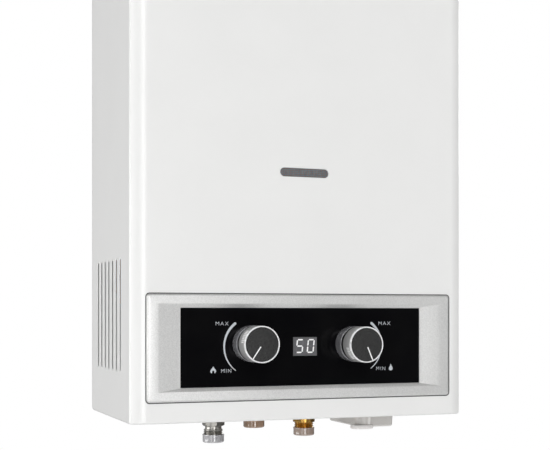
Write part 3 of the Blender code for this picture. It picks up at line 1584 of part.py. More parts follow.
def flue_collar():
    inner = FLUE_RADIUS - FLUE_WALL
    top = CABINET_HEIGHT + FLUE_RISE
    flange = CABINET_HEIGHT - SHEET - GAP
    turned(
        "flue_collar",
        [
            (inner, top),
            (FLUE_RADIUS, top),
            (FLUE_RADIUS, flange),
            (FLUE_RADIUS + FLUE_FLANGE, flange),
            (FLUE_RADIUS + FLUE_FLANGE, flange - FLUE_WALL),
            (FLUE_RADIUS, flange - FLUE_WALL),
            (FLUE_RADIUS, COLLAR_BASE),
            (inner, COLLAR_BASE),
        ],
        (0, -FLUE_DEPTH, 0), "zinc_sheet", sides=2 * ROUND, closed=True,
    )


# Sensors and ignition


def thermostat(name, x, face, height):
    """A snap-disc thermostat on a wall that faces the front."""
    at = (x, height)
    base = face - GAP
    body = cylinder(name, THERMOSTAT_RADIUS, (x, base, height), (x, base - THERMOSTAT_THICKNESS, height),
                    "black_plastic", sides=SMALL_ROUND)
    ear = outline(
        f"{name}_ear", slot_outline(at, 2 * THERMOSTAT_EAR, THERMOSTAT_RADIUS),
        -base, -base + THERMOSTAT_EAR_THICKNESS, ALONG_Y,
    )
    join(body, ear)
    for side in (-1, 1):
        middle = x + side * TERMINAL_OFFSET
        low = (middle - TERMINAL_WIDTH / 2, base - THERMOSTAT_THICKNESS - TERMINAL_LENGTH,
               height - TERMINAL_THICKNESS / 2)
        high = (middle + TERMINAL_WIDTH / 2, base - THERMOSTAT_THICKNESS + GAP,
                height + TERMINAL_THICKNESS / 2)
        join(body, block(f"{name}_terminal_{side}", low, high))


def temperature_sensor():
    """A sensor clipped round the hot water pipe."""
    depth = fin_tube_depth(FIN_TUBES - 1)
    inner = PIPE_RADIUS + GAP
    outer = inner + CLIP_WALL
    clip = turned(
        "temperature_sensor",
        [
            (inner, SENSOR_HEIGHT + CLIP_LENGTH / 2),
            (outer, SENSOR_HEIGHT + CLIP_LENGTH / 2),
            (outer, SENSOR_HEIGHT - CLIP_LENGTH / 2),
            (inner, SENSOR_HEIGHT - CLIP_LENGTH / 2),
        ],
        (-RISER_X, depth, 0), "grey_steel", sides=SMALL_ROUND, closed=True,
    )
    at = (-RISER_X + inner + CLIP_WALL / 2 + SENSOR_RADIUS, depth)
    join(clip, cylinder("sensor_bulb", SENSOR_RADIUS, (*at, SENSOR_HEIGHT - SENSOR_LENGTH / 2),
                        (*at, SENSOR_HEIGHT + SENSOR_LENGTH / 2), sides=SMALL_ROUND))


def ignition():
    rail = -BURNER_FRONT - BURNER_RAIL
    face = rail - GAP - BRACKET_SHEET
    low = ELECTRODE_BASE + BURNER_RAIL
    bracket = block("electrode_bracket", (-BRACKET_WIDTH / 2, face, low),
                    (BRACKET_WIDTH / 2, rail - GAP, low + BRACKET_HEIGHT), "grey_steel",
                    edges="Y", radius=BRACKET_SHEET)
    depth = face - GAP - ELECTRODE_RADIUS
    for name, x in (("ignition_electrode", ELECTRODE_X), ("flame_sensor", -ELECTRODE_X)):
        top = ELECTRODE_BASE + ELECTRODE_LENGTH
        rod = cylinder(name, ELECTRODE_RADIUS, (x, depth, ELECTRODE_BASE), (x, depth, top),
                       "white_ceramic", sides=SMALL_ROUND)
        join(rod, cylinder(f"{name}_wire", ELECTRODE_WIRE, (x, depth, ELECTRODE_BASE + GAP),
                           (x, depth, top + ELECTRODE_WIRE_LENGTH), sides=SMALL_ROUND // 2))
    return bracket


def igniter_box():
    back = -PLATE - GAP
    low = IGNITER_CENTRE - IGNITER_HEIGHT / 2
    box = block(
        "igniter_box", (IGNITER_LEFT, back - IGNITER_DEPTH, low),
        (IGNITER_RIGHT, back, low + IGNITER_HEIGHT), "white_ceramic",
        edges="Y", radius=IGNITER_CORNER,
    )
    middle = ((IGNITER_LEFT + IGNITER_RIGHT) / 2, back - IGNITER_DEPTH / 2)
    plug = block(
        "igniter_connector",
        (middle[0] - CONNECTOR_WIDTH / 2, middle[1] - CONNECTOR_DEPTH / 2, low - CONNECTOR_HEIGHT),
        (middle[0] + CONNECTOR_WIDTH / 2, middle[1] + CONNECTOR_DEPTH / 2, low + GAP),
    )
    join(box, plug)


def chamber_supports():
    """Two bent straps that hold the chamber off the back plate."""
    near, far = -PLATE - GAP, -CHAMBER_BACK + GAP
    low, sheet = SUPPORT_BASE, SUPPORT_SHEET
    high = low + SUPPORT_HEIGHT
    middle = (low + high) / 2
    shape = [
        (near, low),
        (near, middle + sheet / 2),
        (far + sheet, middle + sheet / 2),
        (far + sheet, high),
        (far, high),
        (far, middle - sheet / 2),
        (near - sheet, middle - sheet / 2),
        (near - sheet, low),
    ]
    for name, side in (("left", -1), ("right", 1)):
        x = side * SUPPORT_X
        outline(f"chamber_support_{name}", shape, x - SUPPORT_WIDTH / 2, x + SUPPORT_WIDTH / 2,
                ALONG_X, "zinc_sheet")


# Battery box


def box_outline(grow=0.0):
    """The battery box's plan, grown all round; its front left corner is the widest."""
    radii = [BOX_FINGER_CORNER, BOX_CORNER, BOX_CORNER, BOX_CORNER]
    return rounded_rectangle(
        BOX_LEFT - grow, BOX_LEFT + BOX_WIDTH + grow, -BOX_FRONT - grow,
        -BOX_FRONT + BOX_DEPTH + grow, [max(radius + grow, BOX_WALL / 2) for radius in radii],
    )


def hinge_axis():
    """The lid's hinge line, as its depth and height."""
    return -BOX_FRONT + BOX_DEPTH + BARREL_RADIUS + GAP, BOX_LOW + BARREL_RADIUS


def battery_box():
    bottom = BOX_LOW + LID_THICKNESS + GAP
    box = outline("battery_box", box_outline(), bottom, BOX_TOP, ALONG_Z, "grey_plastic")
    shelf = SHEET + GAP + PLATE + GAP
    rim = outline("battery_box_rim", box_outline(BOX_RIM), shelf, shelf + BOX_RIM_THICKNESS, ALONG_Z)
    join(box, rim)
    depth, height = hinge_axis()
    middle = BOX_LEFT + BOX_WIDTH / 2
    for side in (-1, 1):
        ends = sorted(middle + side * (BARREL_LENGTH / 2 + GAP + reach) for reach in (0, LUG_LENGTH))
        join(
            box,
            cylinder(f"lid_lug_{side}", BARREL_RADIUS, (ends[0], depth, height),
                     (ends[1], depth, height), sides=SMALL_ROUND),
            block(f"lid_lug_web_{side}", (ends[0], depth - BARREL_RADIUS - BOX_WALL / 2, height),
                  (ends[1], depth, height + BARREL_RADIUS)),
        )
    inside = outline("battery_space", box_outline(-BOX_WALL), bottom - OVERRUN, BOX_TOP - BOX_WALL,
                     ALONG_Z)
    cut(box, inside, pin_hole("lug_pin_hole"))


def pin_hole(name):
    depth, height = hinge_axis()
    middle = BOX_LEFT + BOX_WIDTH / 2
    reach = BARREL_LENGTH / 2 + LUG_LENGTH + OVERRUN
    return cylinder(name, PIN_RADIUS + GAP, (middle - reach, depth, height),
                    (middle + reach, depth, height), sides=SMALL_ROUND)


def battery_lid():
    """The lid under the box, with its origin on the hinge line."""
    depth, height = hinge_axis()
    middle = BOX_LEFT + BOX_WIDTH / 2
    top = BOX_LOW + LID_THICKNESS
    lid = outline("battery_lid", box_outline(), BOX_LOW, top, ALONG_Z, "grey_plastic")
    tab = outline(
        "lid_tab",
        rounded_rectangle(
            BOX_LEFT - TAB_PROUD, BOX_LEFT - TAB_PROUD + TAB_WIDTH, -BOX_FRONT - TAB_PROUD,
            -BOX_FRONT - TAB_PROUD + TAB_DEPTH,
            [BOX_FINGER_CORNER + TAB_PROUD, BOX_CORNER, BOX_CORNER, BOX_CORNER],
        ),
        BOX_LOW - TAB_DROP, BOX_LOW + LID_THICKNESS / 2, ALONG_Z,
    )
    web = block("lid_web", (middle - BARREL_LENGTH / 2, depth - BARREL_RADIUS * 2, BOX_LOW),
                (middle + BARREL_LENGTH / 2, depth, top))
    barrel = cylinder("lid_barrel", BARREL_RADIUS, (middle - BARREL_LENGTH / 2, depth, height),
                      (middle + BARREL_LENGTH / 2, depth, height), sides=SMALL_ROUND)
    join(lid, tab, web, barrel)
    cut(lid, pin_hole("lid_pin_hole"))
    reach = BARREL_LENGTH / 2 + LUG_LENGTH
    cylinder("lid_hinge_pin", PIN_RADIUS, (middle - reach, depth, height),
             (middle + reach, depth, height), "grey_steel", sides=SMALL_ROUND)


def batteries():
    middle = BOX_LEFT + BOX_WIDTH / 2
    centre = -BOX_FRONT + BOX_DEPTH / 2
    low = BOX_LOW + LID_THICKNESS + GAP
    high = low + CELL_LENGTH + CELL_TIP
    for name, side in (("front", -1), ("rear", 1)):
        profile = [
            (0, high),
            (CELL_TIP_RADIUS, high),
            (CELL_TIP_RADIUS, high - CELL_TIP),
            (CELL_RADIUS, high - CELL_TIP),
            (CELL_RADIUS, low),
            (0, low),
        ]
        if side > 0:
            profile = [(radius, low + high - height) for radius, height in reversed(profile)]
        turned(f"battery_cell_{name}", profile, (middle, centre + side * CELL_PITCH / 2, 0),
               "satin_metal")
    ceiling = BOX_TOP - BOX_WALL - GAP
    strip = block(
        "battery_contacts",
        (middle - SPRING_RADIUS, centre - CELL_PITCH / 2 - SPRING_RADIUS, ceiling - CONTACT_THICKNESS),
        (middle + SPRING_RADIUS, centre + CELL_PITCH / 2 + SPRING_RADIUS, ceiling), "bright_chrome",
    )
    for side in (-1, 1):
        y = centre + side * CELL_PITCH / 2
        join(strip, cylinder(f"contact_spring_{side}", SPRING_RADIUS, (middle, y, ceiling - GAP),
                             (middle, y, high + GAP), sides=SMALL_ROUND, tip_radius=CELL_TIP_RADIUS))


def cover_screws():
    for name, side in (("left", -1), ("right", 1)):
        turned(
            f"cover_screw_{name}",
            [
                (0, SCREW_LENGTH - SCREW_HEAD),
                (SCREW_RADIUS, SCREW_LENGTH - SCREW_HEAD),
                (SCREW_RADIUS, -GAP),
                (SCREW_HEAD_RADIUS, -GAP),
                (SCREW_HEAD_RADIUS, -GAP - SCREW_HEAD / 2),
                (SCREW_HEAD_RADIUS / 2, -GAP - SCREW_HEAD),
                (0, -GAP - SCREW_HEAD),
            ],
            (side * (HALF_WIDTH - COVER_SCREW_INSET), -COVER_SCREW_DEPTH, 0), "grey_steel",
            sides=SMALL_ROUND,
        )


def shade_smooth():
    for item in PARTS.objects:
        if item.type == "MESH":
            item.data.shade_smooth()
            item.data.set_sharp_from_angle(angle=SMOOTH_ANGLE)


def main():
    front_cover()
    viewing_mesh()
    control_trim()
    control_panel()
    display()
    knob("gas", GAS_KNOB_X, GAS_KNOB_HEIGHT, GAS_BODY_FRONT + SPINDLE_BOSS_LENGTH)
    knob("water", WATER_KNOB_X, WATER_KNOB_HEIGHT, WATER_BODY_FRONT + SPINDLE_BOSS_LENGTH)
    back_plate()
    hanging_rail()
    connections()
    gas_valve()
    solenoid()
    water_valve()
    drain_plug()
    push_rod()
    microswitch()
    burner()
    gas_manifold()
    combustion_chamber()
    coil_pipe()
    fin_pack()
    water_pipes()
    flue_hood()
    flue_collar()
    thermostat("overheat_thermostat", OVERHEAT_X, -CHAMBER_FRONT, OVERHEAT_HEIGHT)
    thermostat("flue_thermostat", FLUE_THERMOSTAT_X, -CHAMBER_FRONT, FLUE_THERMOSTAT_HEIGHT)
    temperature_sensor()
    ignition()
    igniter_box()
    chamber_supports()
    battery_box()
    battery_lid()
    batteries()
    cover_screws()
    shade_smooth()


main()
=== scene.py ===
"""Looks of a wall-hung tankless gas water heater, on its CAD frame.

The white sheet cover, the silver control trim, the printed panel, the display, the knobs, the
pipe ends, the battery box and the flue collar are new, finer pieces. The inner pieces keep
their CAD shapes and get materials of their own. Lengths are in metres. Heights are above the
cabinet's lower edge, except in the studio. A box is left, right, low, high, and a plan is left,
right, front, back.
"""
import math

import bmesh
import bpy
from mathutils import Matrix, Vector


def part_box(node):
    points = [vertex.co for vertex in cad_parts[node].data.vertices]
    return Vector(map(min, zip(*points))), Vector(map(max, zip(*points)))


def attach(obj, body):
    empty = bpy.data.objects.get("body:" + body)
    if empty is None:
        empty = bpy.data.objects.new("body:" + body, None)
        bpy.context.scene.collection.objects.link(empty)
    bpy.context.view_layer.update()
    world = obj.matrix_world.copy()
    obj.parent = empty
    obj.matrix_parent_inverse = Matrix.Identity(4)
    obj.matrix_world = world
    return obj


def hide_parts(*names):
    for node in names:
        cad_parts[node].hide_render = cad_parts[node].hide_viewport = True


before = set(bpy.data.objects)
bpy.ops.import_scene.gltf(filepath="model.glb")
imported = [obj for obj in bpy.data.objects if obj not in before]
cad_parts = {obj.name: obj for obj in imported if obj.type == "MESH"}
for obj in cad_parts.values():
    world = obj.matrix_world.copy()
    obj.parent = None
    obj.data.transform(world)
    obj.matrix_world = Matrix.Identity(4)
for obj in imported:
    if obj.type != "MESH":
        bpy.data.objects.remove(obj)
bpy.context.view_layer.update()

# Cabinet and cover
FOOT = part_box("front_cover")[0].z  # the cabinet's lower edge
HEIGHT = 0.590
HALF = 0.170
FRONT = -0.178
BACK = -0.0005
SHEET = 0.0008
SHOULDER_WIDTH = 0.015
SHOULDER_DROP = 0.0035
CORNER_BEND = 0.003
TOP_BEND = 0.0024
HEM_BEND = 0.0020
HEM_WIDTH = 0.014
HEM_CORNER = 0.003
REAR_CORNER = 0.007
BEND_STEPS = 8
FRONT_STEP = 0.010  # widest column on the cover's flat front
SIDE_STEP = 0.012
ROW_STEP = 0.030
NOTCH_RADIUS = 0.0575
NOTCH_STEPS = 48
FLUE_DEPTH = 0.092

# Louvres
LOUVRE_COUNT = 7
LOUVRE_FIRST = 0.0415
LOUVRE_PITCH = 0.017
LOUVRE_CENTRE = 0.100
LOUVRE_LENGTH = 0.109
LOUVRE_WIDTH = 0.009
LOUVRE_RISE = 0.0013
LOUVRE_END = 0.003
LOUVRE_LANCE = 0.0004
LOUVRE_STEPS = 8

# Viewing slot and the mesh behind it
SLOT_UP = 0.2361
SLOT_LENGTH = 0.0497
SLOT_HEIGHT = 0.0082
SLOT_ROLL = 0.0011
SLOT_STEPS = 6
SLOT_DEPTH = 0.0006  # straight part behind the rolled edge
SLOT_PATCH_HALF = 0.030
SLOT_PATCH_RISE = 0.010
HOLE_PITCH = 0.0017
HOLE_RADIUS = 0.00052
HOLE_SIDES = 8
HOLE_COLUMNS = 32
HOLE_LINES = 7
MESH_CORNER = 0.001

# Control trim and its seal, whose dark grey paints the shadow line round the trim
TRIM_HALF = 0.1553
TRIM_LOW = 0.0197
TRIM_HIGH = 0.1195
TRIM_OUTER = (-TRIM_HALF, TRIM_HALF, TRIM_LOW, TRIM_HIGH)
TRIM_PROUD = 0.0020
TRIM_CORNER = 0.0029
TRIM_OVERLAP = 0.0055
RIM_WIDTH = 0.0030
RIM_DEPTH = 0.0019
RIM_STEPS = 5
BORDER = (-0.1450, 0.1450, 0.0289, 0.1108)
CREST = 0.0003
CREST_ROWS = ((1, 0.0010), (1 / 3, 0.0007), (-1 / 3, 0.0005))  # share of the crest, corner
CREST_FALL = 0.00001
OPENING = (-0.1230, 0.1230, 0.0324, 0.1068)
OPENING_CORNER = 0.0004
DISH = 1.15  # how much the sloping face curves; 1 is flat
DISH_STEPS = 12
LIP = 0.0001  # how far the opening's inner edge turns in
LIP_DEPTH = 0.0002
LEDGE_WIDTH = 0.0040
LEDGE_THICKNESS = 0.0020
SKIRT_WALL = 0.0020
SKIRT_CORNER = 0.0040
SKIRT_DEPTH = 0.0100
SHADOW_SEAL_OUT = 0.0009
SHADOW_SEAL_IN = 0.0030
SHADOW_SEAL_LIFT = 0.00004

# Panel, its printed marks and the display's digits
PANEL_SINK = 0.0010
PANEL_FACE = FRONT + PANEL_SINK
PANEL_THICKNESS = 0.0020
PRINT_THICKNESS = 0.00004
ARC_WIDTHS = (0.0025, 0.0007)
ARC_STEPS = 40
ARCS = (  # centre, radius, first and last angle
    ((-0.0533, 0.0701), 0.0274, 127.6, 233.8),
    ((0.0539, 0.0700), 0.0275, 52.4, -53.8),
)
FLAME = ((0, 0.5), (0.16, 0.22), (0.40, 0.0), (0.48, -0.22), (0.38, -0.42), (0.16, -0.5),
         (0.22, -0.30), (0.08, -0.12))
DROP = ((0, 0.5), (0.14, 0.2), (0.42, -0.12), (0.44, -0.34), (0.22, -0.5))
SIGNS = (  # name, right half of the outline as shares, centre, width, height
    ("flame_sign", FLAME, (-0.0914, 0.0490), 0.0060, 0.0068),
    ("drop_sign", DROP, (0.0916, 0.0487), 0.0048, 0.0066),
)
SIGN_CORNER = 0.2
WORDS = (  # name, letters, left, low, width
    ("gas_more_word", "MAX", -0.0890, 0.0903, 0.0126),
    ("gas_less_word", "MIN", -0.0836, 0.0461, 0.0098),
    ("water_more_word", "MAX", 0.0783, 0.0901, 0.0129),
    ("water_less_word", "MIN", 0.0758, 0.0458, 0.0098),
)
WORD_HEIGHT = 0.0033
LETTER_OFFSET = -0.012
LETTER_SPACE = 1.25
SEGMENTS = {  # ends of the seven bars in a digit one wide and two tall
    "a": ((0, 2), (1, 2)), "b": ((1, 2), (1, 1)), "c": ((1, 1), (1, 0)), "d": ((0, 0), (1, 0)),
    "e": ((0, 0), (0, 1)), "f": ((0, 1), (0, 2)), "g": ((0, 1), (1, 1)),
}
DIGITS = ((-0.0092, "afgcd"), (0.0021, "abcdef"))  # left edge, lit bars
DIGIT_LOW = 0.0635
DIGIT_WIDTH = 0.0073
DIGIT_HEIGHT = 0.01335
DIGIT_LEAN = 0.105
BAR_HALF = 0.00065
BAR_SPACE = 0.0003

# Knobs, with lengths along their axes measured from the cabinet's front
KNOBS = (("gas", -0.0556, 0.0730, -34.4), ("water", 0.0491, 0.0719, 23))  # across, up, turn
COLLAR_RADIUS = 0.0171
COLLAR_LENGTH = 0.0132
COLLAR_WALL = 0.0022
COLLAR_STEP = 0.0010
COLLAR_BACK = -0.0060
COLLAR_EDGE = 0.0005
KNOB_RADIUS = 0.0170
KNOB_REACH = 0.0350
KNOB_EDGE = 0.0005
CROWN_DEPTH = 0.0013
GROOVE_LENGTH = 0.0052
NECK_INSET = 0.0002
STEM_INSET = 0.0006
STEM_BORE = 0.0034
STEM_LENGTH = 0.0060
STEM_OVERLAP = 0.0004
RING_WIDTH = 0.0010
RING_LENGTH = 0.0030
RING_EDGE = 0.0003
FACE_SINK = 0.0004
FACE_THICKNESS = 0.0010
FACE_EDGE = 0.0002
POINTER_START = 0.0024
POINTER_PAST = 0.0001
POINTER_HALF = 0.0005
POINTER_HEIGHT = 0.00025
POINTER_CORNER = 0.0004
RIDGE_COUNT = 8
RIDGE_SPACE = 5.6  # degrees
RIDGE_ANGLE = -82
RIDGE_HALF = 0.00068
RIDGE_START = 0.0012
RIDGE_END = 0.0070
RIDGE_RISE = 0.0003
RIDGE_ROOT = -0.0002
SIDES = 96
GAP = 0.0003

# Pipe ends and their caps
PIPES = {  # place across, foot of the plain part, end of the thread
    "hot": (-0.052, -0.0195, -0.0307),
    "gas": (-0.007, -0.0030, -0.0166),
    "cold": (0.050, -0.0150, -0.0269),
}
PIPE_DEPTH = -0.050
PIPE_EDGE = 0.0004
BORE = 0.0065
FLANGE_RADIUS = 0.0145
FLANGE_TOP = 0.0053
FLANGE_FOOT = 0.0023
SHANK_RADIUS = 0.0105
SHANK_TOP = 0.020
NECK_RADIUS = 0.0086
INLET_RADIUS = 0.0118
INLET_TOP = 0.026
THREAD_RADIUS = 0.0104
THREAD_PITCH = 0.001814
THREAD_DEPTH = 0.00116
THREAD_SIDES = 72
THREAD_ROWS = 8  # in one pitch
THREAD_START = 0.0006
THREAD_END = 0.0010
LEAD = 0.0006
LEAD_LENGTH = 0.0012
NUT_FLATS = 0.0208
NUT_LOW = -0.0160
NUT_HIGH = -0.0050
NUT_TIP = 0.0002
NUT_ROWS = 12
CHAMFER = 0.0012
CHAMFER_ROWS = 4
CHAMFER_ANGLE = 30
CAP_RADIUS = 0.0112
CAP_WALL = 0.0006
CAP_SPARE = 0.0026  # how far the cap reaches past the thread's end
CAP_LENGTH = 0.0085
CAP_EDGE = 0.0018
CAP_LIP = 0.0002
CAP_LIP_LENGTH = 0.0010
CAP_FLOOR = 0.0009
CAP_FILLET = 0.0022
CAP_SOFT = 0.0001

# Battery box and lid, whose profiles are steps outwards from the plan and upwards
BOX_PLAN = (0.0957, 0.1350, -0.0940, -0.0120)
BOX_CORNERS = (0.0160, 0.0030)  # at the front left, elsewhere
BOX_LEAST_CORNER = 0.0009
BOX_LOW = -0.0162
BOX_TOP = 0.0550
BOX_WALL = 0.0015
BOX_EDGE = 0.0003
BOX_NICK = 0.0001
BOX_FLARE = 0.0010
BOX_RIM = 0.0030
BOX_RIM_LOW = 0.0023
BOX_RIM_HIGH = 0.0043
CORNER_STEPS = 6
FRONT_CORNER_STEPS = 14
LID_LOW = -0.0189
LID_TOP = -0.01626
LID_PROFILE = ((-0.0026, 0), (-0.0013, 0.0003), (-0.0004, 0.0011), (0, 0.0023))
TAB_PLAN = (0.0895, 0.1120, -0.0950, -0.0820)
TAB_CORNERS = (0.0060, 0.0030)
TAB_LOW = -0.0209
TAB_PROFILE = ((-0.0012, 0), (-0.0004, 0.0003), (0, 0.0010))
TAB_SEAT = ((0, 0.0020), (-0.0003, 0.0023))
HINGE_ACROSS = (BOX_PLAN[0] + BOX_PLAN[1]) / 2
HINGE_DEPTH = -0.0092
HINGE_HEIGHT = -0.0160
HINGE_RADIUS = 0.0025
HINGE_BORE = 0.0013
HINGE_EDGE = 0.0003
HINGE_SIDES = 32
BARREL_HALF = 0.0100
BARREL_WEB = 0.0050
LUG_PLACE = 0.0103
LUG_LENGTH = 0.0060
LUG_WEB = 0.0030
LUG_WEB_HEIGHT = 0.0024
WEB_CORNER = 0.0002

# Flue collar
FLUE_RADIUS = 0.0550
FLUE_WALL = 0.0010
FLUE_TOP = 0.616
FLUE_FLANGE = 0.5889
FLUE_FLANGE_WIDTH = 0.0060
FLUE_BASE = 0.556
FLUE_EDGE = 0.0004
FLUE_SIDES = 128
FLUE_RINGS = (0.6025, 0.6085)  # pressed rings that grip the flue pipe
FLUE_RING_RISE = 0.00015
FLUE_RING_HALF = 0.0009
FLUE_RING_STEPS = 6

# Cover screws
SCREW_INSET = 0.008
SCREW_DEPTH = -0.045
SCREW_SIDES = 48
SCREW_PROFILE = (
    (0, -0.0020), (0.0018, -0.00195), (0.0031, -0.0016), (0.0038, -0.0010), (0.0040, -0.0004),
    (0.0040, -0.0003), (0.0019, -0.0003), (0.0019, 0.0050), (0.0004, 0.0062),
)
CROSS_REACH = 0.0019
CROSS_HALF = 0.00035
CROSS_LOW = -0.0021
CROSS_HEIGHT = 0.0004
CROSS_CORNER = 0.0001

# Studio
AMBIENT = ((-1, 0.55), (0, 0.47), (1, 0.31))  # strengths from the left to the right
AMBIENT_HEIGHT = ((-1, 0.4), (-0.25, 0.7), (0.1, 1), (0.5, 1), (1, 1.8))
ROOM_DEPTH = ((-1, 0.10), (-0.91, 0.10), (-0.81, 0.6), (-0.3, 0.4), (0.3, 0.4), (1, 0.4))
ROOM_HEIGHT = ((-1, 0.3), (-0.4, 0.4), (-0.15, 0.8), (0, 1), (0.5, 1), (0.85, 0.25), (1, 0.25))
ROOM_WIDTH = ((-1, 1), (0.6, 1), (0.78, 0.22), (1, 0.22))
FLOOR_GLOW = 0.75
FLOOR_REACH = 6.0
FLOOR_HEIGHT = -2.6
CAMERA_PLACE = (-0.4032, -1.18488, -0.42955)
CAMERA_TURN = -20.314
CAMERA_LENS = 74.13
CAMERA_SENSOR = 36
CAMERA_SHIFT = 0.16258
LAMPS = (  # name, place, target, size, power
    ("key", (-0.22, -2.3, -0.1), (0, -0.1, -0.35), (0.44, 2.4), 18.8),
    ("second", (-1.45, -1.75, -0.1), (0, -0.1, -0.35), (0.30, 2.4), 6),
    ("side", (-2.3, 0.1, -0.45), (0, -0.1, -0.35), (1.6, 1.0), 19.3),
    ("right", (1.6, -1.55, 0.1), (0, -0.1, -0.25), (0.6, 1.8), 3.6),
    ("back", (1.75, 1.75, 0.6), (0, -0.05, -0.3), (1.4, 1.2), 24),
    ("low", (-0.3, -1.9, -1.3), (0, -0.05, -0.6), (1.6, 0.4), 3),
)

WHITE = (1, 1, 1, 1)

# Limits of the shapes
NEAR = 0.00001  # places closer than this count as one
WELD = 0.000002  # corners closer than this become one
TIP = 0.0002  # an end of a turned shape slimmer than this closes to a point
LEAST_RADIUS = 0.00005
CORNER_SHARE = 0.45  # a rounded corner takes up to this share of each side
STEP_SLACK = 0.01  # share of a step by which a gap may be longer than its steps

UPRIGHT = Matrix.Identity(3)
AHEAD = Matrix.Rotation(math.radians(90), 3, "X")  # +Z turned to point ahead of the cabinet
SIDEWAYS = Matrix.Rotation(math.radians(90), 3, "Y")


# Shapes


def up(height):
    """World height of a point that is this far above the cabinet's lower edge."""
    return FOOT + height


def arc(centre, radius, first, last, steps):
    """Points on an arc, from one angle in degrees to another."""
    angles = [math.radians(first + (last - first) * step / steps) for step in range(steps + 1)]
    return [(centre[0] + radius * math.cos(a), centre[1] + radius * math.sin(a)) for a in angles]


def quarter(steps):
    """Sines and cosines from zero to a quarter turn."""
    angles = [math.pi / 2 * step / steps for step in range(steps + 1)]
    return [(math.sin(a), math.cos(a)) for a in angles]


def softened(points, radius, steps=4, closed=False):
    """A line of 2D points with its corners rounded."""
    made, count = [], len(points)
    for i, point in enumerate(points):
        here = Vector(point)
        if not closed and i in (0, count - 1):
            made.append(here)
            continue
        before, after = Vector(points[i - 1]) - here, Vector(points[(i + 1) % count]) - here
        half = before.angle(after) / 2
        reach = min(radius / math.tan(half), before.length * CORNER_SHARE,
                    after.length * CORNER_SHARE)
        start, end = here + before.normalized() * reach, here + after.normalized() * reach
        for step in range(steps + 1):
            t = step / steps
            made.append(start * (1 - t) ** 2 + here * 2 * t * (1 - t) + end * t ** 2)
    return made


def rectangle_ring(box, radius, steps=6):
    """The outline of a box with round corners, always with the same number of points."""
    left, right, low, high = box
    radius = max(radius, LEAST_RADIUS)
    corners = ((right, high, -1, -1, 0), (left, high, 1, -1, 90), (left, low, 1, 1, 180),
               (right, low, -1, 1, 270))
    points = []
    for x, y, inwards_x, inwards_y, first in corners:
        centre = (x + inwards_x * radius, y + inwards_y * radius)
        points += arc(centre, radius, first, first + 90, steps)
    return points


def grown(box, by):
    left, right, low, high = box
    return left - by, right + by, low - by, high + by


def loft(form, rows, closed_rows=False):
    """Joins rows of 3D points with faces; every row has the same number of points."""
    made = [[form.verts.new(point) for point in row] for row in rows]
    pairs = list(zip(made, made[1:]))
    if closed_rows:
        pairs.append((made[-1], made[0]))
    for low, high in pairs:
        for i in range(len(low)):
            form.faces.new((low[i - 1], low[i], high[i], high[i - 1]))
    return made


def capped(form, rows):
    """Joined rows whose first and last are closed with a face."""
    made = loft(form, rows)
    form.faces.new(made[0])
    form.faces.new(made[-1])


def turned(form, profile, origin, turn=UPRIGHT, sides=SIDES, closed=False):
    """A profile of (radius, height) points turned about an axis through the origin."""
    rows = []
    for radius, height in profile:
        ring = arc((0, 0), max(radius, NEAR), 0, 360, sides)[:-1]
        rows.append([Vector(origin) + turn @ Vector((x, y, height)) for x, y in ring])
    made = loft(form, rows, closed)
    if not closed:
        for row, radius in ((made[0], profile[0][0]), (made[-1], profile[-1][0])):
            if radius < TIP:
                bmesh.ops.pointmerge(form, verts=row, merge_co=row[0].co)


def in_front(points, depth):
    """2D points (across, up) placed on a plane that faces the front."""
    return [Vector((x, depth, up(y))) for x, y in points]


def level(points, height):
    """2D points (across, depth) placed at one height."""
    return [Vector((x, y, up(height))) for x, y in points]


def filled(form, points):
    """A flat face with the given edge."""
    return form.faces.new([form.verts.new(point) for point in points])


def placed(name, data):
    """A new object that is part of the scene."""
    made = bpy.data.objects.new(name, data)
    bpy.context.scene.collection.objects.link(made)
    return made


def piece(name, form, material, node, body="heater", replaced=True, angle=32, sheet=None):
    """Makes an object that rides a body and, when replaced is set, hides the node it stands for."""
    bmesh.ops.remove_doubles(form, verts=form.verts, dist=WELD)
    bmesh.ops.recalc_face_normals(form, faces=form.faces)
    mesh = bpy.data.meshes.new(name)
    form.to_mesh(mesh)
    form.free()
    made = placed(name, mesh)
    mesh.materials.append(material)
    mesh.shade_smooth()
    mesh.set_sharp_from_angle(angle=math.radians(angle))
    if sheet:
        solid = made.modifiers.new("sheet", "SOLIDIFY")
        solid.thickness = sheet
        solid.offset = -1
        solid.use_even_offset = True
    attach(made, body)
    if replaced:
        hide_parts(node)
    return made


# Materials

NOISE_RANGE = (0.3, 0.7)  # between these lies most of the noise
SMEAR_SIZE = 1.7  # size of the changes in roughness as a share of those in colour


def paint(code):
    """A colour written as six hexadecimal digits, as linear values."""
    values = [int(code[i:i + 2], 16) / 255 for i in (0, 2, 4)]
    linear = [v / 12.92 if v <= 0.04045 else ((v + 0.055) / 1.055) ** 2.4 for v in values]
    return (*linear, 1)


def wire(tree, node, inputs):
    """Links a node's inputs to the outputs given for them, or sets them to the constants given."""
    for socket, value in inputs.items():
        if isinstance(value, bpy.types.NodeSocket):
            tree.links.new(value, node.inputs[socket])
        else:
            node.inputs[socket].default_value = value
    return node.outputs


def wired(tree, kind, inputs):
    """The outputs of a new node with these inputs."""
    return wire(tree, tree.nodes.new(kind), inputs)


def noise(tree, place, size, detail, stretch):
    """Noise about size metres across, stretched along the axes."""
    mapped = wired(tree, "ShaderNodeMapping", {"Vector": place, "Scale": stretch})["Vector"]
    return wired(tree, "ShaderNodeTexNoise",
                 {"Vector": mapped, "Scale": 1 / size, "Detail": detail})["Fac"]


def cells(tree, place, size):
    """Random values in cells about size metres across."""
    return wired(tree, "ShaderNodeTexVoronoi", {"Vector": place, "Scale": 1 / size})["Color"]


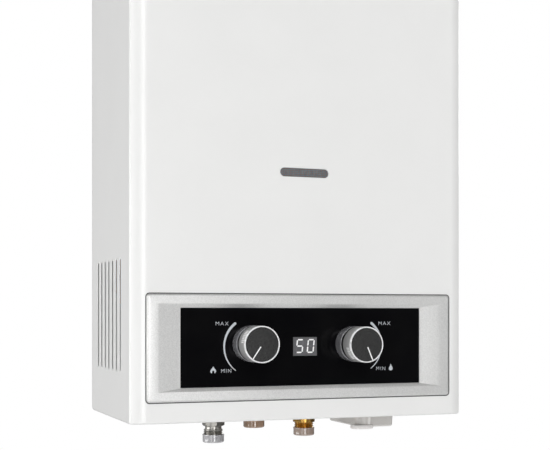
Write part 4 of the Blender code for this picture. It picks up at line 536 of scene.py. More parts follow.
def blended(tree, value, stops):
    """Colours at places between 0 and 1, blended in between."""
    ramp = tree.nodes.new("ShaderNodeValToRGB")
    marks = ramp.color_ramp.elements
    marks.remove(marks[1])
    for number, (place, colour) in enumerate(stops):
        mark = marks[0] if number == 0 else marks.new(place)
        mark.position = place
        mark.color = colour
    return wire(tree, ramp, {"Fac": value})["Color"]


def finish(name, dark, light, rough, sizes=(0.006, 0.001, 0.000001), metallic=0.0,
           stretch=(1, 1, 1), flake=None, shine=0.5, coat=0.0, clear=0.0, coat_rough=0.12):
    """A material whose colour, roughness and relief all vary finely.

    dark and light bound the colour, rough the roughness; sizes are those of the variation of
    colour and of relief, and the relief's height; flake is the size of bright cells.
    """
    mottle, grain, bump = sizes
    made = bpy.data.materials.new(name)
    made.use_nodes = True
    tree = made.node_tree
    place = tree.nodes.new("ShaderNodeTexCoord").outputs["Object"]
    if flake:
        fine = cells(tree, place, flake)
    else:
        fine = noise(tree, place, mottle, 4.0, stretch)
    low, high = NOISE_RANGE
    smear = noise(tree, place, mottle * SMEAR_SIZE, 5.0, stretch)
    spread = wired(tree, "ShaderNodeMapRange", {"Value": smear, "From Min": low, "From Max": high,
                                                "To Min": rough[0], "To Max": rough[1]})
    relief = wired(tree, "ShaderNodeBump", {"Height": noise(tree, place, grain, 2.0, stretch),
                                            "Strength": 1.0, "Distance": bump})
    wire(tree, tree.nodes["Principled BSDF"], {
        "Base Color": blended(tree, fine, ((low, paint(dark)), (high, paint(light)))),
        "Roughness": spread["Result"], "Normal": relief["Normal"], "Metallic": metallic,
        "Specular IOR Level": shine, "Coat Weight": coat, "Coat Roughness": coat_rough,
        "Transmission Weight": clear,
    })
    return made


def cap_finish(name, dark, light):
    """The slightly clear, glossy plastic of the thread caps."""
    return finish(name, dark, light, (0.06, 0.10), (0.012, 0.003, 0.0000005), shine=1.0, coat=1.0,
                  clear=0.1, coat_rough=0.05)


ENAMEL = finish("white_enamel", "E7E7E6", "E9E9E8", (0.28, 0.31), (0.06, 0.0011, 0.0000012),
                coat=0.25)
SILVER = finish("silver_paint", "DBDBDA", "E7E7E6", (0.42, 0.48), (0.02, 0.0007, 0.0000026), 0.75,
                flake=0.0006, coat=0.1)
BLACK = finish("black_gloss", "08080A", "0C0C0D", (0.10, 0.18), (0.03, 0.002, 0.000001), shine=0.07)
PRINT = finish("grey_print", "B6BBC1", "C4C9CE", (0.45, 0.60), (0.001, 0.0003, 0.000002))
WINDOW = finish("display_grey", "5F5F61", "666668", (0.16, 0.24), (0.004, 0.001, 0.000001))
UNLIT = finish("unlit_segments", "5A5A5C", "606062", (0.30, 0.40), (0.002, 0.0005, 0.000001))
LIT = finish("lit_segments", "F0F0F0", "FFFFFF", (0.30, 0.40), (0.002, 0.0005, 0.000001))
SATIN = finish("satin_silver", "ABABAB", "B9B9B9", (0.28, 0.36), (0.004, 0.0008, 0.000002), 0.3,
               stretch=(1, 12, 1))
COLLAR_GREY = finish("collar_grey", "A4A4A8", "B2B2B6", (0.10, 0.16), (0.005, 0.001, 0.000001), 0.6)
# Painted reflection: the chrome knob ring is near-white paint with little metal, so its colour
# carries the bright reflection all round.
RING_PAINTED_SHINE = finish("ring_painted_chrome_shine", "F0F0F1", "FAFAFB", (0.24, 0.32), (0.004, 0.001, 0.0000004), 0.15)
FACE = finish("dark_face", "161616", "313131", (0.45, 0.62), (0.0008, 0.0005, 0.000030), 0.2,
              flake=0.0005)
# Painted shade: the knob stem seen in the groove between collar and grip is near black for the
# shadow in that recess.
GROOVE_SHADE = finish("groove_painted_shade", "161616", "1D1D1D", (0.40, 0.55), (0.003, 0.0004, 0.000006))
# White of the pointer's print; on the grip ridges the same white is a painted highlight.
WHITE_POINTER_AND_GLINT = finish("white_pointer_and_glint", "ECECEC", "F8F8F8", (0.35, 0.45), (0.002, 0.0004, 0.000002))
MESH_GREY = finish("dark_mesh", "6C6C6E", "868688", (0.35, 0.5), (0.003, 0.0005, 0.000004), 0.3)
STEEL = finish("grey_steel", "A6A49F", "B2AFAA", (0.27, 0.33), metallic=1.0, stretch=(1, 1, 6))
BRASS = finish("brass", "B88E48", "CFA763", (0.14, 0.24), metallic=1.0, stretch=(1, 1, 6))
CAST_BRASS = finish("cast_brass", "A67A2C", "C99A44", (0.38, 0.55), (0.006, 0.0009, 0.00004), 1.0)
COPPER = finish("copper", "B4613A", "D98A5C", (0.26, 0.46), (0.018, 0.001, 0.000006), 1.0)
ZINC = finish("zinc_sheet", "B4B7B9", "C0C3C5", (0.36, 0.48), (0.01, 0.0015, 0.000004), 0.6,
              flake=0.006)
ALUMINIUM = finish("cast_aluminium", "9A9A9A", "B4B4B3", (0.42, 0.58), (0.006, 0.0008, 0.00003),
                   0.9)
PRESSED = finish("pressed_steel", "85837F", "A19F9A", (0.30, 0.48), (0.012, 0.0008, 0.000006), 1.0,
                 stretch=(1, 4, 1))
BOX_GREY = finish("grey_plastic", "DBD8D4", "E1DEDA", (0.10, 0.15), (0.02, 0.0006, 0.000001),
                  shine=0.6, coat=0.3)
TAB_WHITE = finish("tab_plastic", "F3EFEC", "F8F5F3", (0.22, 0.30), (0.02, 0.0006, 0.000001))
CAP_GREY = cap_finish("clear_grey_cap", "BDBCBF", "C6C5C8")
CAP_BROWN = cap_finish("clear_brown_cap", "A4866D", "AE917A")
CAP_DULL = cap_finish("clear_dull_cap", "AB9688", "B5A194")
BLACK_PLASTIC = finish("black_plastic", "19191A", "242425", (0.42, 0.56), (0.003, 0.0004, 0.00001))
# Painted shadow: this dark grey on the seal ring stands in for the shade in the gap round the trim.
SHADOW_LINE_FOAM = finish("dark_foam_painted_shadow", "333334", "454546", (0.7, 0.9), (0.002, 0.0005, 0.00003))
RED_PLASTIC = finish("red_plastic", "A5281F", "BE372C", (0.35, 0.48), (0.003, 0.0005, 0.000006))
CERAMIC = finish("white_ceramic", "DCD8CE", "EAE7DF", (0.24, 0.40), (0.004, 0.0007, 0.000004))
WHITE_PLASTIC = finish("white_plastic", "DEDDD8", "E8E7E3", (0.38, 0.50), (0.006, 0.0004, 0.000006))
BOARD = finish("green_board", "1C5A2E", "26703B", (0.35, 0.50), (0.004, 0.0006, 0.000010))
CELL = finish("cell_can", "8C8C8E", "A2A2A4", (0.25, 0.38), (0.006, 0.0009, 0.000003), 0.9,
              stretch=(1, 1, 8))
NICKEL = finish("nickel", "B9B7B0", "CFCDC6", (0.18, 0.30), (0.003, 0.0006, 0.000002), 1.0)


# Front cover


def plan_half():
    """The right half of the cover's plan as (point, outward normal), front to back."""
    turn = 2 * math.atan(SHOULDER_DROP / SHOULDER_WIDTH)
    shoulder = SHOULDER_WIDTH / math.sin(turn)
    flat = HALF - SHOULDER_WIDTH - CORNER_BEND * (1 - math.sin(turn))
    lean = math.degrees(turn)
    made = [((x, FRONT), (0, -1)) for x in front_columns(flat)]
    centres = [((flat, FRONT + shoulder), shoulder, -90, -90 + lean)]
    end = Vector(arc(*centres[0], 1)[-1])
    bend = end - CORNER_BEND * Vector((math.sin(turn), -math.cos(turn)))
    centres.append((tuple(bend), CORNER_BEND, -90 + lean, 0))
    for centre, radius, first, last in centres:
        for x, y in arc(centre, radius, first, last, BEND_STEPS)[1:]:
            made.append(((x, y), ((x - centre[0]) / radius, (y - centre[1]) / radius)))
    made += [((HALF, y), (1, 0)) for y in side_columns(bend.y)]
    return made


def spaced(marks, step):
    """Marks in rising order with even steps filled in between them."""
    marks = sorted(marks)
    made = [marks[0]]
    for mark in marks[1:]:
        start = made[-1]
        count = max(1, math.ceil((mark - start) / step - STEP_SLACK))
        made += [start + (mark - start) * i / count for i in range(1, count + 1)]
    return made


def front_columns(flat):
    return spaced([0, SLOT_PATCH_HALF, TRIM_HALF - TRIM_OVERLAP, flat], FRONT_STEP)


def louvre_lips():
    return [FRONT + LOUVRE_FIRST + number * LOUVRE_PITCH for number in range(LOUVRE_COUNT)]


def side_columns(start):
    marks = [start, BACK - REAR_CORNER, BACK]
    for lip in louvre_lips():
        marks.append(lip - LOUVRE_LANCE)
        marks += [lip + LOUVRE_WIDTH * step / LOUVRE_STEPS for step in range(LOUVRE_STEPS + 1)]
    return spaced(marks, SIDE_STEP)[1:]


def eased(share):
    """0 to 1 with a soft start and end."""
    share = min(1, max(0, share))
    return share * share * (3 - 2 * share)


def louvre_rise(y, height):
    """How far the sheet stands out at a point of the side."""
    past_end = LOUVRE_LENGTH / 2 - abs(height - LOUVRE_CENTRE)
    if past_end <= 0:
        return 0
    for lip in louvre_lips():
        if lip - NEAR <= y <= lip + LOUVRE_WIDTH:
            back = eased(1 - (y - lip) / LOUVRE_WIDTH)
            return LOUVRE_RISE * back * eased(past_end / LOUVRE_END)
    return 0


def cover_rows():
    """The cover's rows as (height, inset), from the hem's bend to the top's."""
    rows = [(HEM_BEND * (1 - c), HEM_BEND * (1 - s)) for s, c in quarter(BEND_STEPS)[:-1]]
    marks = [HEM_BEND, HEIGHT - TOP_BEND, REAR_CORNER / 2, REAR_CORNER]
    marks += [TRIM_LOW + TRIM_OVERLAP, TRIM_HIGH - TRIM_OVERLAP]
    marks += [SLOT_UP - SLOT_PATCH_RISE, SLOT_UP + SLOT_PATCH_RISE]
    for side in (-1, 1):
        for step in range(LOUVRE_STEPS + 1):
            reach = LOUVRE_LENGTH / 2 - LOUVRE_END * step / LOUVRE_STEPS
            marks.append(LOUVRE_CENTRE + side * reach)
    rows += [(height, 0) for height in spaced(marks, ROW_STEP)]
    rows += [(HEIGHT - TOP_BEND * (1 - s), TOP_BEND * (1 - c)) for s, c in quarter(BEND_STEPS)[1:]]
    return rows


def rear_edge(y, height):
    """Draws the cover's last columns in round the lower rear corner."""
    start = BACK - REAR_CORNER
    if y <= start or height >= REAR_CORNER:
        return y
    return start + (y - start) * math.sqrt(max(0, 1 - (1 - height / REAR_CORNER) ** 2))


def cover_form():
    form = bmesh.new()
    half = plan_half()
    plan = [((-x, y), (-nx, ny)) for (x, y), (nx, ny) in reversed(half[1:])] + half
    rows = cover_rows()
    grid = []
    for height, inset in rows:
        line = []
        for (x, y), (nx, ny) in plan:
            shift = -inset
            if abs(abs(x) - HALF) < NEAR:
                shift += louvre_rise(y, height)
            depth = rear_edge(y, height) + ny * shift
            line.append(form.verts.new((x + nx * shift, depth, up(height))))
        grid.append(line)
    for j in range(len(rows) - 1):
        for i in range(len(plan) - 1):
            if not open_cell(plan[i][0], plan[i + 1][0], rows[j][0], rows[j + 1][0]):
                low, high = grid[j], grid[j + 1]
                form.faces.new((low[i], low[i + 1], high[i + 1], high[i]))
    cover_top(form, grid[-1])
    cover_hem(form, grid[0])
    cover_slot(form, grid, plan, rows)
    loose = [vert for vert in form.verts if not vert.link_faces]
    bmesh.ops.delete(form, geom=loose, context="VERTS")
    return form


def open_cell(first, second, low, high):
    """Whether a cell lies in the control cut-out, the slot's patch or a louvre's mouth."""
    wide = max(abs(first[0]), abs(second[0]))
    if wide <= TRIM_HALF - TRIM_OVERLAP + NEAR:
        if TRIM_LOW + TRIM_OVERLAP - NEAR <= low and high <= TRIM_HIGH - TRIM_OVERLAP + NEAR:
            return True
        if wide <= SLOT_PATCH_HALF + NEAR and abs((low + high) / 2 - SLOT_UP) < SLOT_PATCH_RISE:
            return True
    if abs(abs(first[0]) - HALF) < NEAR and abs(abs(second[0]) - HALF) < NEAR:
        if max(abs(low - LOUVRE_CENTRE), abs(high - LOUVRE_CENTRE)) < LOUVRE_LENGTH / 2 + NEAR:
            middle = (first[1] + second[1]) / 2
            return any(lip - LOUVRE_LANCE < middle < lip for lip in louvre_lips())
    return False


def cover_top(form, ring):
    notch = [(NOTCH_RADIUS, BACK)] + arc((0, -FLUE_DEPTH), NOTCH_RADIUS, 0, -180, NOTCH_STEPS)
    notch.append((-NOTCH_RADIUS, BACK))
    form.faces.new(ring + [form.verts.new((x, y, ring[0].co.z)) for x, y in notch])


def cover_hem(form, ring):
    wide, deep = HALF - HEM_WIDTH, FRONT + HEM_WIDTH
    back = ring[0].co.y
    inner = softened([(wide, back), (wide, deep), (-wide, deep), (-wide, back)], HEM_CORNER)
    form.faces.new(ring + [form.verts.new((x, y, ring[0].co.z)) for x, y in inner])


def slot_outline(grow):
    """The viewing slot's outline, grown all round."""
    radius = SLOT_HEIGHT / 2 + grow
    middle = (SLOT_LENGTH - SLOT_HEIGHT) / 2
    ends = arc((middle, 0), radius, -90, 90, 12) + arc((-middle, 0), radius, 90, 270, 12)
    return [(x, SLOT_UP + y) for x, y in ends]


def cover_slot(form, grid, plan, rows):
    """The flat sheet round the viewing slot and the slot's rolled edge."""
    columns = [i for i, (point, _) in enumerate(plan)
               if abs(point[0]) <= SLOT_PATCH_HALF + NEAR and point[1] < FRONT + NEAR]
    lines = [j for j, (height, _) in enumerate(rows)
             if abs(height - SLOT_UP) <= SLOT_PATCH_RISE + NEAR]
    first, last, low, high = columns[0], columns[-1], lines[0], lines[-1]
    border = [grid[low][i] for i in range(first, last)] + [grid[j][last] for j in range(low, high)]
    border += [grid[high][i] for i in range(last, first, -1)]
    border += [grid[j][first] for j in range(high, low, -1)]
    edges = [form.edges.get((a, b)) or form.edges.new((a, b))
             for a, b in zip(border, border[1:] + border[:1])]
    rings = [(SLOT_ROLL * (1 - s), SLOT_ROLL * (1 - c)) for s, c in quarter(SLOT_STEPS)]
    rings.append((0, SLOT_ROLL + SLOT_DEPTH))
    rim = loft(form, [in_front(slot_outline(grow), FRONT + depth) for grow, depth in rings])[0]
    edges += [form.edges.get((a, b)) for a, b in zip(rim, rim[1:] + rim[:1])]
    bmesh.ops.triangle_fill(form, use_beauty=True, edges=edges)


def make_cover():
    cover = piece("cover_sheet", cover_form(), ENAMEL, "front_cover", angle=50, sheet=SHEET)
    flat = cover.modifiers.new("flat_faces", "WEIGHTED_NORMAL")
    flat.keep_sharp = True


def make_mesh_plate():
    """The perforated plate behind the viewing slot."""
    low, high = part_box("viewing_mesh")
    left, foot = -HOLE_PITCH * HOLE_COLUMNS / 2, SLOT_UP - HOLE_PITCH * HOLE_LINES / 2
    form = bmesh.new()
    for i in range(HOLE_COLUMNS):
        for j in range(HOLE_LINES):
            centre = Vector((left + (i + 0.5) * HOLE_PITCH, foot + (j + 0.5) * HOLE_PITCH))
            cell, hole = [], []
            for corner in range(HOLE_SIDES):
                a = 2 * math.pi * corner / HOLE_SIDES
                way = Vector((math.cos(a), math.sin(a)))
                cell.append(centre + way * (HOLE_PITCH / 2 / max(abs(way.x), abs(way.y))))
                hole.append(centre + way * HOLE_RADIUS)
            loft(form, [in_front(cell, low.y), in_front(hole, low.y)])
    outer = rectangle_ring((low.x, high.x, low.z - FOOT, high.z - FOOT), MESH_CORNER)
    inner = rectangle_ring((left, -left, foot, foot + HOLE_PITCH * HOLE_LINES), 0)
    loft(form, [in_front(outer, low.y), in_front(inner, low.y)])
    piece("viewing_screen", form, MESH_GREY, "viewing_mesh", sheet=SHEET / 2)


# Control trim, panel marks and display


def trim_form(rings):
    """A frame round the controls, from closed rows of (box, corner radius, depth)."""
    form = bmesh.new()
    loft(form, [in_front(rectangle_ring(box, radius), depth) for box, radius, depth in rings], True)
    return form


def make_trim():
    face = FRONT - TRIM_PROUD
    rings = [(TRIM_OUTER, TRIM_CORNER, FRONT - GAP)]
    for s, c in quarter(RIM_STEPS):
        inset = RIM_WIDTH * (1 - c)
        rings.append((grown(TRIM_OUTER, -inset), TRIM_CORNER - inset, face + RIM_DEPTH * (1 - s)))
    for number, (share, corner) in enumerate(CREST_ROWS):
        rings.append((grown(BORDER, CREST * share), corner, face + CREST_FALL * number))
    fall = PANEL_SINK + TRIM_PROUD
    for step in range(DISH_STEPS):
        share = CREST / (OPENING[0] - BORDER[0]) * (1 - step / DISH_STEPS) + step / DISH_STEPS
        box = [b + (o - b) * share for b, o in zip(BORDER, OPENING)]
        rings.append((box, OPENING_CORNER, face + fall * share ** DISH))
    seat = PANEL_FACE + PANEL_THICKNESS + GAP
    lip, ledge = grown(OPENING, -LIP), grown(OPENING, -LEDGE_WIDTH)
    rings += [(box, OPENING_CORNER, depth) for box, depth in (
        (OPENING, PANEL_FACE - LIP), (lip, PANEL_FACE + LIP_DEPTH), (lip, seat), (ledge, seat),
        (ledge, seat + LEDGE_THICKNESS))]
    skirt = grown(TRIM_OUTER, -TRIM_OVERLAP - GAP)
    for by, depth in ((SKIRT_WALL, seat + LEDGE_THICKNESS), (SKIRT_WALL, FRONT + SKIRT_DEPTH),
                      (0, FRONT + SKIRT_DEPTH), (0, FRONT - GAP)):
        rings.append((grown(skirt, -by), SKIRT_CORNER - by, depth))
    piece("control_frame", trim_form(rings), SILVER, "control_trim", angle=40)


def make_trim_shadow_seal():
    """A thin ring in the gap between the trim and the cover, seen as a thin line; it is shaped as a
    foam seal, and its dark grey is painted shadow for the contact shade at the trim's rim.
    """
    low, high = FRONT - SHADOW_SEAL_LIFT, FRONT - GAP + SHADOW_SEAL_LIFT
    rings = [(grown(TRIM_OUTER, by), TRIM_CORNER + by, depth)
             for by, depth in ((SHADOW_SEAL_OUT, low), (SHADOW_SEAL_OUT, high), (-SHADOW_SEAL_IN, high), (-SHADOW_SEAL_IN, low))]
    piece("trim_shadow_seal", trim_form(rings), SHADOW_LINE_FOAM, "control_trim", replaced=False)


def flat_print(name, outlines, material, node="control_panel"):
    """Thin flat shapes that lie on the panel's face or the display's."""
    form = bmesh.new()
    for points in outlines:
        face = filled(form, in_front(points, PANEL_FACE))
        made = bmesh.ops.extrude_face_region(form, geom=[face])
        moved = [part for part in made["geom"] if isinstance(part, bmesh.types.BMVert)]
        bmesh.ops.translate(form, verts=moved, vec=(0, -PRINT_THICKNESS, 0))
    piece(name, form, material, node, replaced=False)


def tapered_arc(centre, radius, first, last):
    """A band along an arc, whose width changes evenly and whose ends are round."""
    wide, slim = ARC_WIDTHS
    centre = Vector(centre)
    outer, inner = [], []
    for step in range(ARC_STEPS + 1):
        t = step / ARC_STEPS
        a = math.radians(first + (last - first) * t)
        half = (wide + (slim - wide) * t) / 2
        way = Vector((math.cos(a), math.sin(a)))
        outer.append(centre + way * (radius + half))
        inner.append(centre + way * (radius - half))
    start, end = (centre + Vector((math.cos(a), math.sin(a))) * radius
                  for a in (math.radians(first), math.radians(last)))
    around = 180 if last > first else -180
    end_cap = arc(end, slim / 2, last, last + around, 8)[1:-1]
    start_cap = arc(start, wide / 2, first + 180, first + 180 + around, 8)[1:-1]
    return outer + end_cap + inner[::-1] + start_cap


def word(name, text, left, low, width):
    """A word in plain capitals that fills a box on the panel's face."""
    curve = bpy.data.curves.new(name, "FONT")
    curve.body = text
    curve.extrude = PRINT_THICKNESS / 2
    curve.offset = LETTER_OFFSET
    curve.space_character = LETTER_SPACE
    made = placed(name, curve)
    bpy.context.view_layer.update()
    mesh = bpy.data.meshes.new_from_object(made)
    bpy.data.objects.remove(made)
    xs, ys = [v.co.x for v in mesh.vertices], [v.co.y for v in mesh.vertices]
    wide, tall = width / (max(xs) - min(xs)), WORD_HEIGHT / (max(ys) - min(ys))
    start = Vector((min(xs), min(ys), 0))
    for vert in mesh.vertices:
        x, y, z = vert.co - start
        vert.co = (left + x * wide, PANEL_FACE - PRINT_THICKNESS / 2 - z, up(low + y * tall))
    form = bmesh.new()
    form.from_mesh(mesh)
    piece(name, form, PRINT, "control_panel", replaced=False)


def make_panel_marks():
    flat_print("range_arcs", [tapered_arc(*band) for band in ARCS], PRINT)
    for name, half, centre, width, height in SIGNS:
        line = list(half) + [(-x, y) for x, y in reversed(half[1:])]
        outline = [(centre[0] + x * width, centre[1] + y * height)
                   for x, y in softened(line, SIGN_CORNER, closed=True)]
        flat_print(name, [outline], PRINT)
    for letters in WORDS:
        word(*letters)


def digit_bars(names, left):
    """The named bars of a seven-bar digit, each a slim six-sided bar, all leaning right."""
    wide, tall = DIGIT_WIDTH - 2 * BAR_HALF, DIGIT_HEIGHT - 2 * BAR_HALF
    bars = []
    for name in names:
        first, last = (Vector((left + BAR_HALF + x * wide, BAR_HALF + y / 2 * tall))
                       for x, y in SEGMENTS[name])
        along = (last - first).normalized()
        across = Vector((-along.y, along.x)) * BAR_HALF
        start, end = first + along * BAR_SPACE, last - along * BAR_SPACE
        bar = [start, start + along * BAR_HALF + across, end - along * BAR_HALF + across, end,
               end - along * BAR_HALF - across, start + along * BAR_HALF - across]
        bars.append([(p.x + p.y * DIGIT_LEAN, DIGIT_LOW + p.y) for p in bar])
    return bars


def make_display():
    lit, unlit = [], []
    for left, on in DIGITS:
        lit += digit_bars(on, left)
        unlit += digit_bars([name for name in SEGMENTS if name not in on], left)
    flat_print("lit_digits", lit, LIT, "display_window")
    flat_print("unlit_digits", unlit, UNLIT, "display_window")


# Knobs


def turned_ahead(profile, origin, closed=False):
    """A form of a profile turned about a knob's axis, its heights ahead of the cabinet's front."""
    form = bmesh.new()
    turned(form, profile, origin, AHEAD, closed=closed)
    return form


def make_knob(prefix, x, height, turn_from_down):
    """A knob's fixed collar, and its grip, stem, ring, face, pointer and ridges that turn."""
    body, knob = f"{prefix}_knob_unit", f"{prefix}_knob"
    origin = Vector((x, FRONT, up(height)))
    inner = COLLAR_RADIUS - COLLAR_WALL
    foot, top = -PANEL_SINK + GAP, COLLAR_LENGTH - PANEL_SINK
    profile = [(COLLAR_RADIUS, foot), (COLLAR_RADIUS, top), (inner, top), (inner, COLLAR_BACK),
               (inner + COLLAR_STEP, COLLAR_BACK), (inner + COLLAR_STEP, foot)]
    form = turned_ahead(softened(profile, COLLAR_EDGE, closed=True), origin, True)
    piece(f"{prefix}_collar", form, COLLAR_GREY, f"{knob}_collar")

    base, under = top + GROOVE_LENGTH, top + GAP
    ring_foot, ring_inner = KNOB_REACH - RING_LENGTH, KNOB_RADIUS - RING_WIDTH
    shoulder, seat = ring_foot - GAP, ring_inner - GAP
    face, neck = KNOB_REACH - FACE_SINK, KNOB_RADIUS - NECK_INSET
    profile = [(0, face - CROWN_DEPTH), (seat, face - CROWN_DEPTH), (seat, shoulder),
               (KNOB_RADIUS, shoulder), (KNOB_RADIUS, base), (neck - KNOB_EDGE, base)]
    form = turned_ahead(softened(profile, KNOB_EDGE), origin)
    piece(f"{prefix}_grip", form, SATIN, knob, body)
    stem, end = inner - STEM_INSET, under - STEM_LENGTH
    profile = [(neck, base + STEM_OVERLAP), (neck, under), (stem, under), (stem, end),
               (STEM_BORE, end)]
    # The stem's near-black colour is painted shade in the groove.
    piece(f"{prefix}_stem", turned_ahead(profile, origin), GROOVE_SHADE, knob, body, False)

    ring = [(KNOB_RADIUS, KNOB_REACH), (KNOB_RADIUS, ring_foot), (ring_inner, ring_foot),
            (ring_inner, KNOB_REACH)]
    form = turned_ahead(softened(ring, RING_EDGE, closed=True), origin, True)
    piece(f"{prefix}_ring", form, RING_PAINTED_SHINE, f"{knob}_ring", body)
    disc = [(0, face), (seat, face), (seat, face - FACE_THICKNESS), (0, face - FACE_THICKNESS)]
    form = turned_ahead(softened(disc, FACE_EDGE), origin)
    piece(f"{prefix}_face", form, FACE, f"{knob}_face", body)
    make_pointer(prefix, origin, -90 + turn_from_down, face, seat + POINTER_PAST)
    make_grip_glint_ridges(prefix, origin, -90 + turn_from_down + RIDGE_ANGLE)


def make_pointer(prefix, origin, angle, face, reach):
    """The raised line on a knob's face."""
    a = math.radians(angle)
    along = Vector((math.cos(a), math.sin(a)))
    across = Vector((-along.y, along.x)) * POINTER_HALF
    start, end = along * POINTER_START, along * reach
    outline = softened([start + across, start - across, end - across, end + across],
                       POINTER_CORNER, closed=True)
    low = [origin + AHEAD @ Vector((p.x, p.y, face)) for p in outline]
    form = bmesh.new()
    capped(form, [low, [point - Vector((0, POINTER_HEIGHT, 0)) for point in low]])
    piece(f"{prefix}_pointer", form, WHITE_POINTER_AND_GLINT, f"{prefix}_knob_face", f"{prefix}_knob_unit", False)


def make_grip_glint_ridges(prefix, origin, middle):
    """A patch of fine ridges on the side of the knob, along its axis, coloured white as a painted
    highlight where the knurl catches the light.
    """
    ring_foot = KNOB_REACH - RING_LENGTH
    start, end = ring_foot - RIDGE_START, ring_foot - RIDGE_END
    form = bmesh.new()
    for number in range(RIDGE_COUNT):
        angle = middle + (number - (RIDGE_COUNT - 1) / 2) * RIDGE_SPACE
        turn = Matrix.Rotation(math.radians(angle), 3, "Z")
        rows = []
        for height, lift in ((start, RIDGE_ROOT), (start - RIDGE_RISE, RIDGE_RISE),
                             (end + RIDGE_RISE, RIDGE_RISE), (end, RIDGE_ROOT)):
            ring = [(RIDGE_ROOT, RIDGE_HALF), (lift, RIDGE_HALF / 2), (lift, -RIDGE_HALF / 2),
                    (RIDGE_ROOT, -RIDGE_HALF)]
            rows.append([origin + AHEAD @ (turn @ Vector((KNOB_RADIUS + x, y, height)))
                         for x, y in ring])
        loft(form, rows)
    piece(f"{prefix}_grip_glint_ridges", form, WHITE_POINTER_AND_GLINT, f"{prefix}_knob", f"{prefix}_knob_unit", False)


# Pipe ends and their caps


def round_row(at, reaches, height):
    """Points all round an upright axis, each at a distance of its own."""
    turns = [2 * math.pi * i / len(reaches) for i in range(len(reaches))]
    return level([(at[0] + reach * math.cos(a), at[1] + reach * math.sin(a))
                  for reach, a in zip(reaches, turns)], height)


def thread(form, at, low, high):
    """A screw thread down a pipe end: its ridge climbs one pitch in each turn."""
    count = math.ceil((high - low) / THREAD_PITCH * THREAD_ROWS)
    rows = []
    for j in range(count + 1):
        height = low + (high - low) * j / count
        fade = min(1, (height - low) / THREAD_PITCH, (high - height) / THREAD_PITCH)
        lead = LEAD * max(0, 1 - (height - low) / LEAD_LENGTH)
        reaches = []
        for i in range(THREAD_SIDES):
            share = (height / THREAD_PITCH - i / THREAD_SIDES) % 1
            cut_in = THREAD_DEPTH * abs(2 * share - 1)
            reaches.append(THREAD_RADIUS - cut_in * fade - lead - (1 - fade) * THREAD_DEPTH / 2)
        rows.append(round_row(at, reaches, height))
    loft(form, rows)


def hexagon(form, at):
    """A hexagonal nut body with both ends chamfered round."""
    rows = []
    for j in range(NUT_ROWS + 1):
        height = NUT_LOW + (NUT_HIGH - NUT_LOW) * j / NUT_ROWS
        if j <= CHAMFER_ROWS:
            height = NUT_LOW + CHAMFER * j / CHAMFER_ROWS
        elif j >= NUT_ROWS - CHAMFER_ROWS:
            height = NUT_HIGH - CHAMFER * (NUT_ROWS - j) / CHAMFER_ROWS
        to_end = min(height - NUT_LOW, NUT_HIGH - height)
        limit = NUT_FLATS / 2 - NUT_TIP + to_end / math.tan(math.radians(CHAMFER_ANGLE))
        reaches = []
        for i in range(SIDES):
            a = 2 * math.pi * i / SIDES
            flat = NUT_FLATS / 2 / math.cos((a + math.pi / 6) % (math.pi / 3) - math.pi / 6)
            reaches.append(min(flat, limit))
        rows.append(round_row(at, reaches, height))
    capped(form, rows)


def make_pipe_end(name, x, sections, end, material, nut=False):
    """A turned pipe end: plain sections from the top down, then a thread to its end."""
    at = (x, PIPE_DEPTH)
    top, foot = sections[0][1], sections[-1][1]
    form = bmesh.new()
    profile = [(BORE, top), *sections, (THREAD_RADIUS - THREAD_START, foot)]
    turned(form, softened(profile, PIPE_EDGE, 3), (*at, FOOT))
    thread(form, at, end, foot)
    turned(form, [(THREAD_RADIUS - THREAD_END, end), (BORE + PIPE_EDGE, end),
                  (BORE, end + PIPE_EDGE), (BORE, top)], (*at, FOOT))
    if nut:
        hexagon(form, at)
    piece(f"{name}_turned", form, material, name, angle=28)


def make_cap(pipe, material):
    """A thin moulded cap over the thread of a pipe end."""
    x, _, end = PIPES[pipe]
    base = end - CAP_SPARE
    top, floor = base + CAP_LENGTH, base + CAP_FLOOR
    lip, inner = CAP_RADIUS + CAP_LIP, CAP_RADIUS - CAP_WALL
    profile = [
        (0, base), *arc((CAP_RADIUS - CAP_EDGE, base + CAP_EDGE), CAP_EDGE, -90, 0, 8),
        (CAP_RADIUS, top - CAP_LIP_LENGTH - CAP_LIP), (lip, top - CAP_LIP_LENGTH), (lip, top),
        (inner, top), (inner, base + CAP_EDGE), (CAP_RADIUS - CAP_FILLET, floor), (0, floor),
    ]
    form = bmesh.new()
    turned(form, softened(profile, CAP_SOFT, 2), (x, PIPE_DEPTH, FOOT))
    name = f"{pipe}_thread_cap"
    piece(f"{name}_moulded", form, material, name, f"{pipe}_cap")


def flanged(radius, top, foot):
    """A plain length of pipe with its flange, from the top down."""
    return [(radius, top), (radius, FLANGE_TOP), (FLANGE_RADIUS, FLANGE_TOP),
            (FLANGE_RADIUS, FLANGE_FOOT), (radius, FLANGE_FOOT), (radius, foot)]


def make_connections():
    x, foot, end = PIPES["hot"]
    sections = flanged(SHANK_RADIUS, SHANK_TOP, NUT_LOW)
    sections += [(NECK_RADIUS, NUT_LOW), (NECK_RADIUS, foot)]
    make_pipe_end("hot_outlet_fitting", x, sections, end, STEEL, nut=True)
    for pipe in ("gas", "cold"):
        x, foot, end = PIPES[pipe]
        sections = flanged(INLET_RADIUS, INLET_TOP, foot)
        make_pipe_end(f"{pipe}_inlet_fitting", x, sections, end, BRASS)
    for pipe, material in (("hot", CAP_GREY), ("gas", CAP_BROWN), ("cold", CAP_DULL)):
        make_cap(pipe, material)


# Battery box


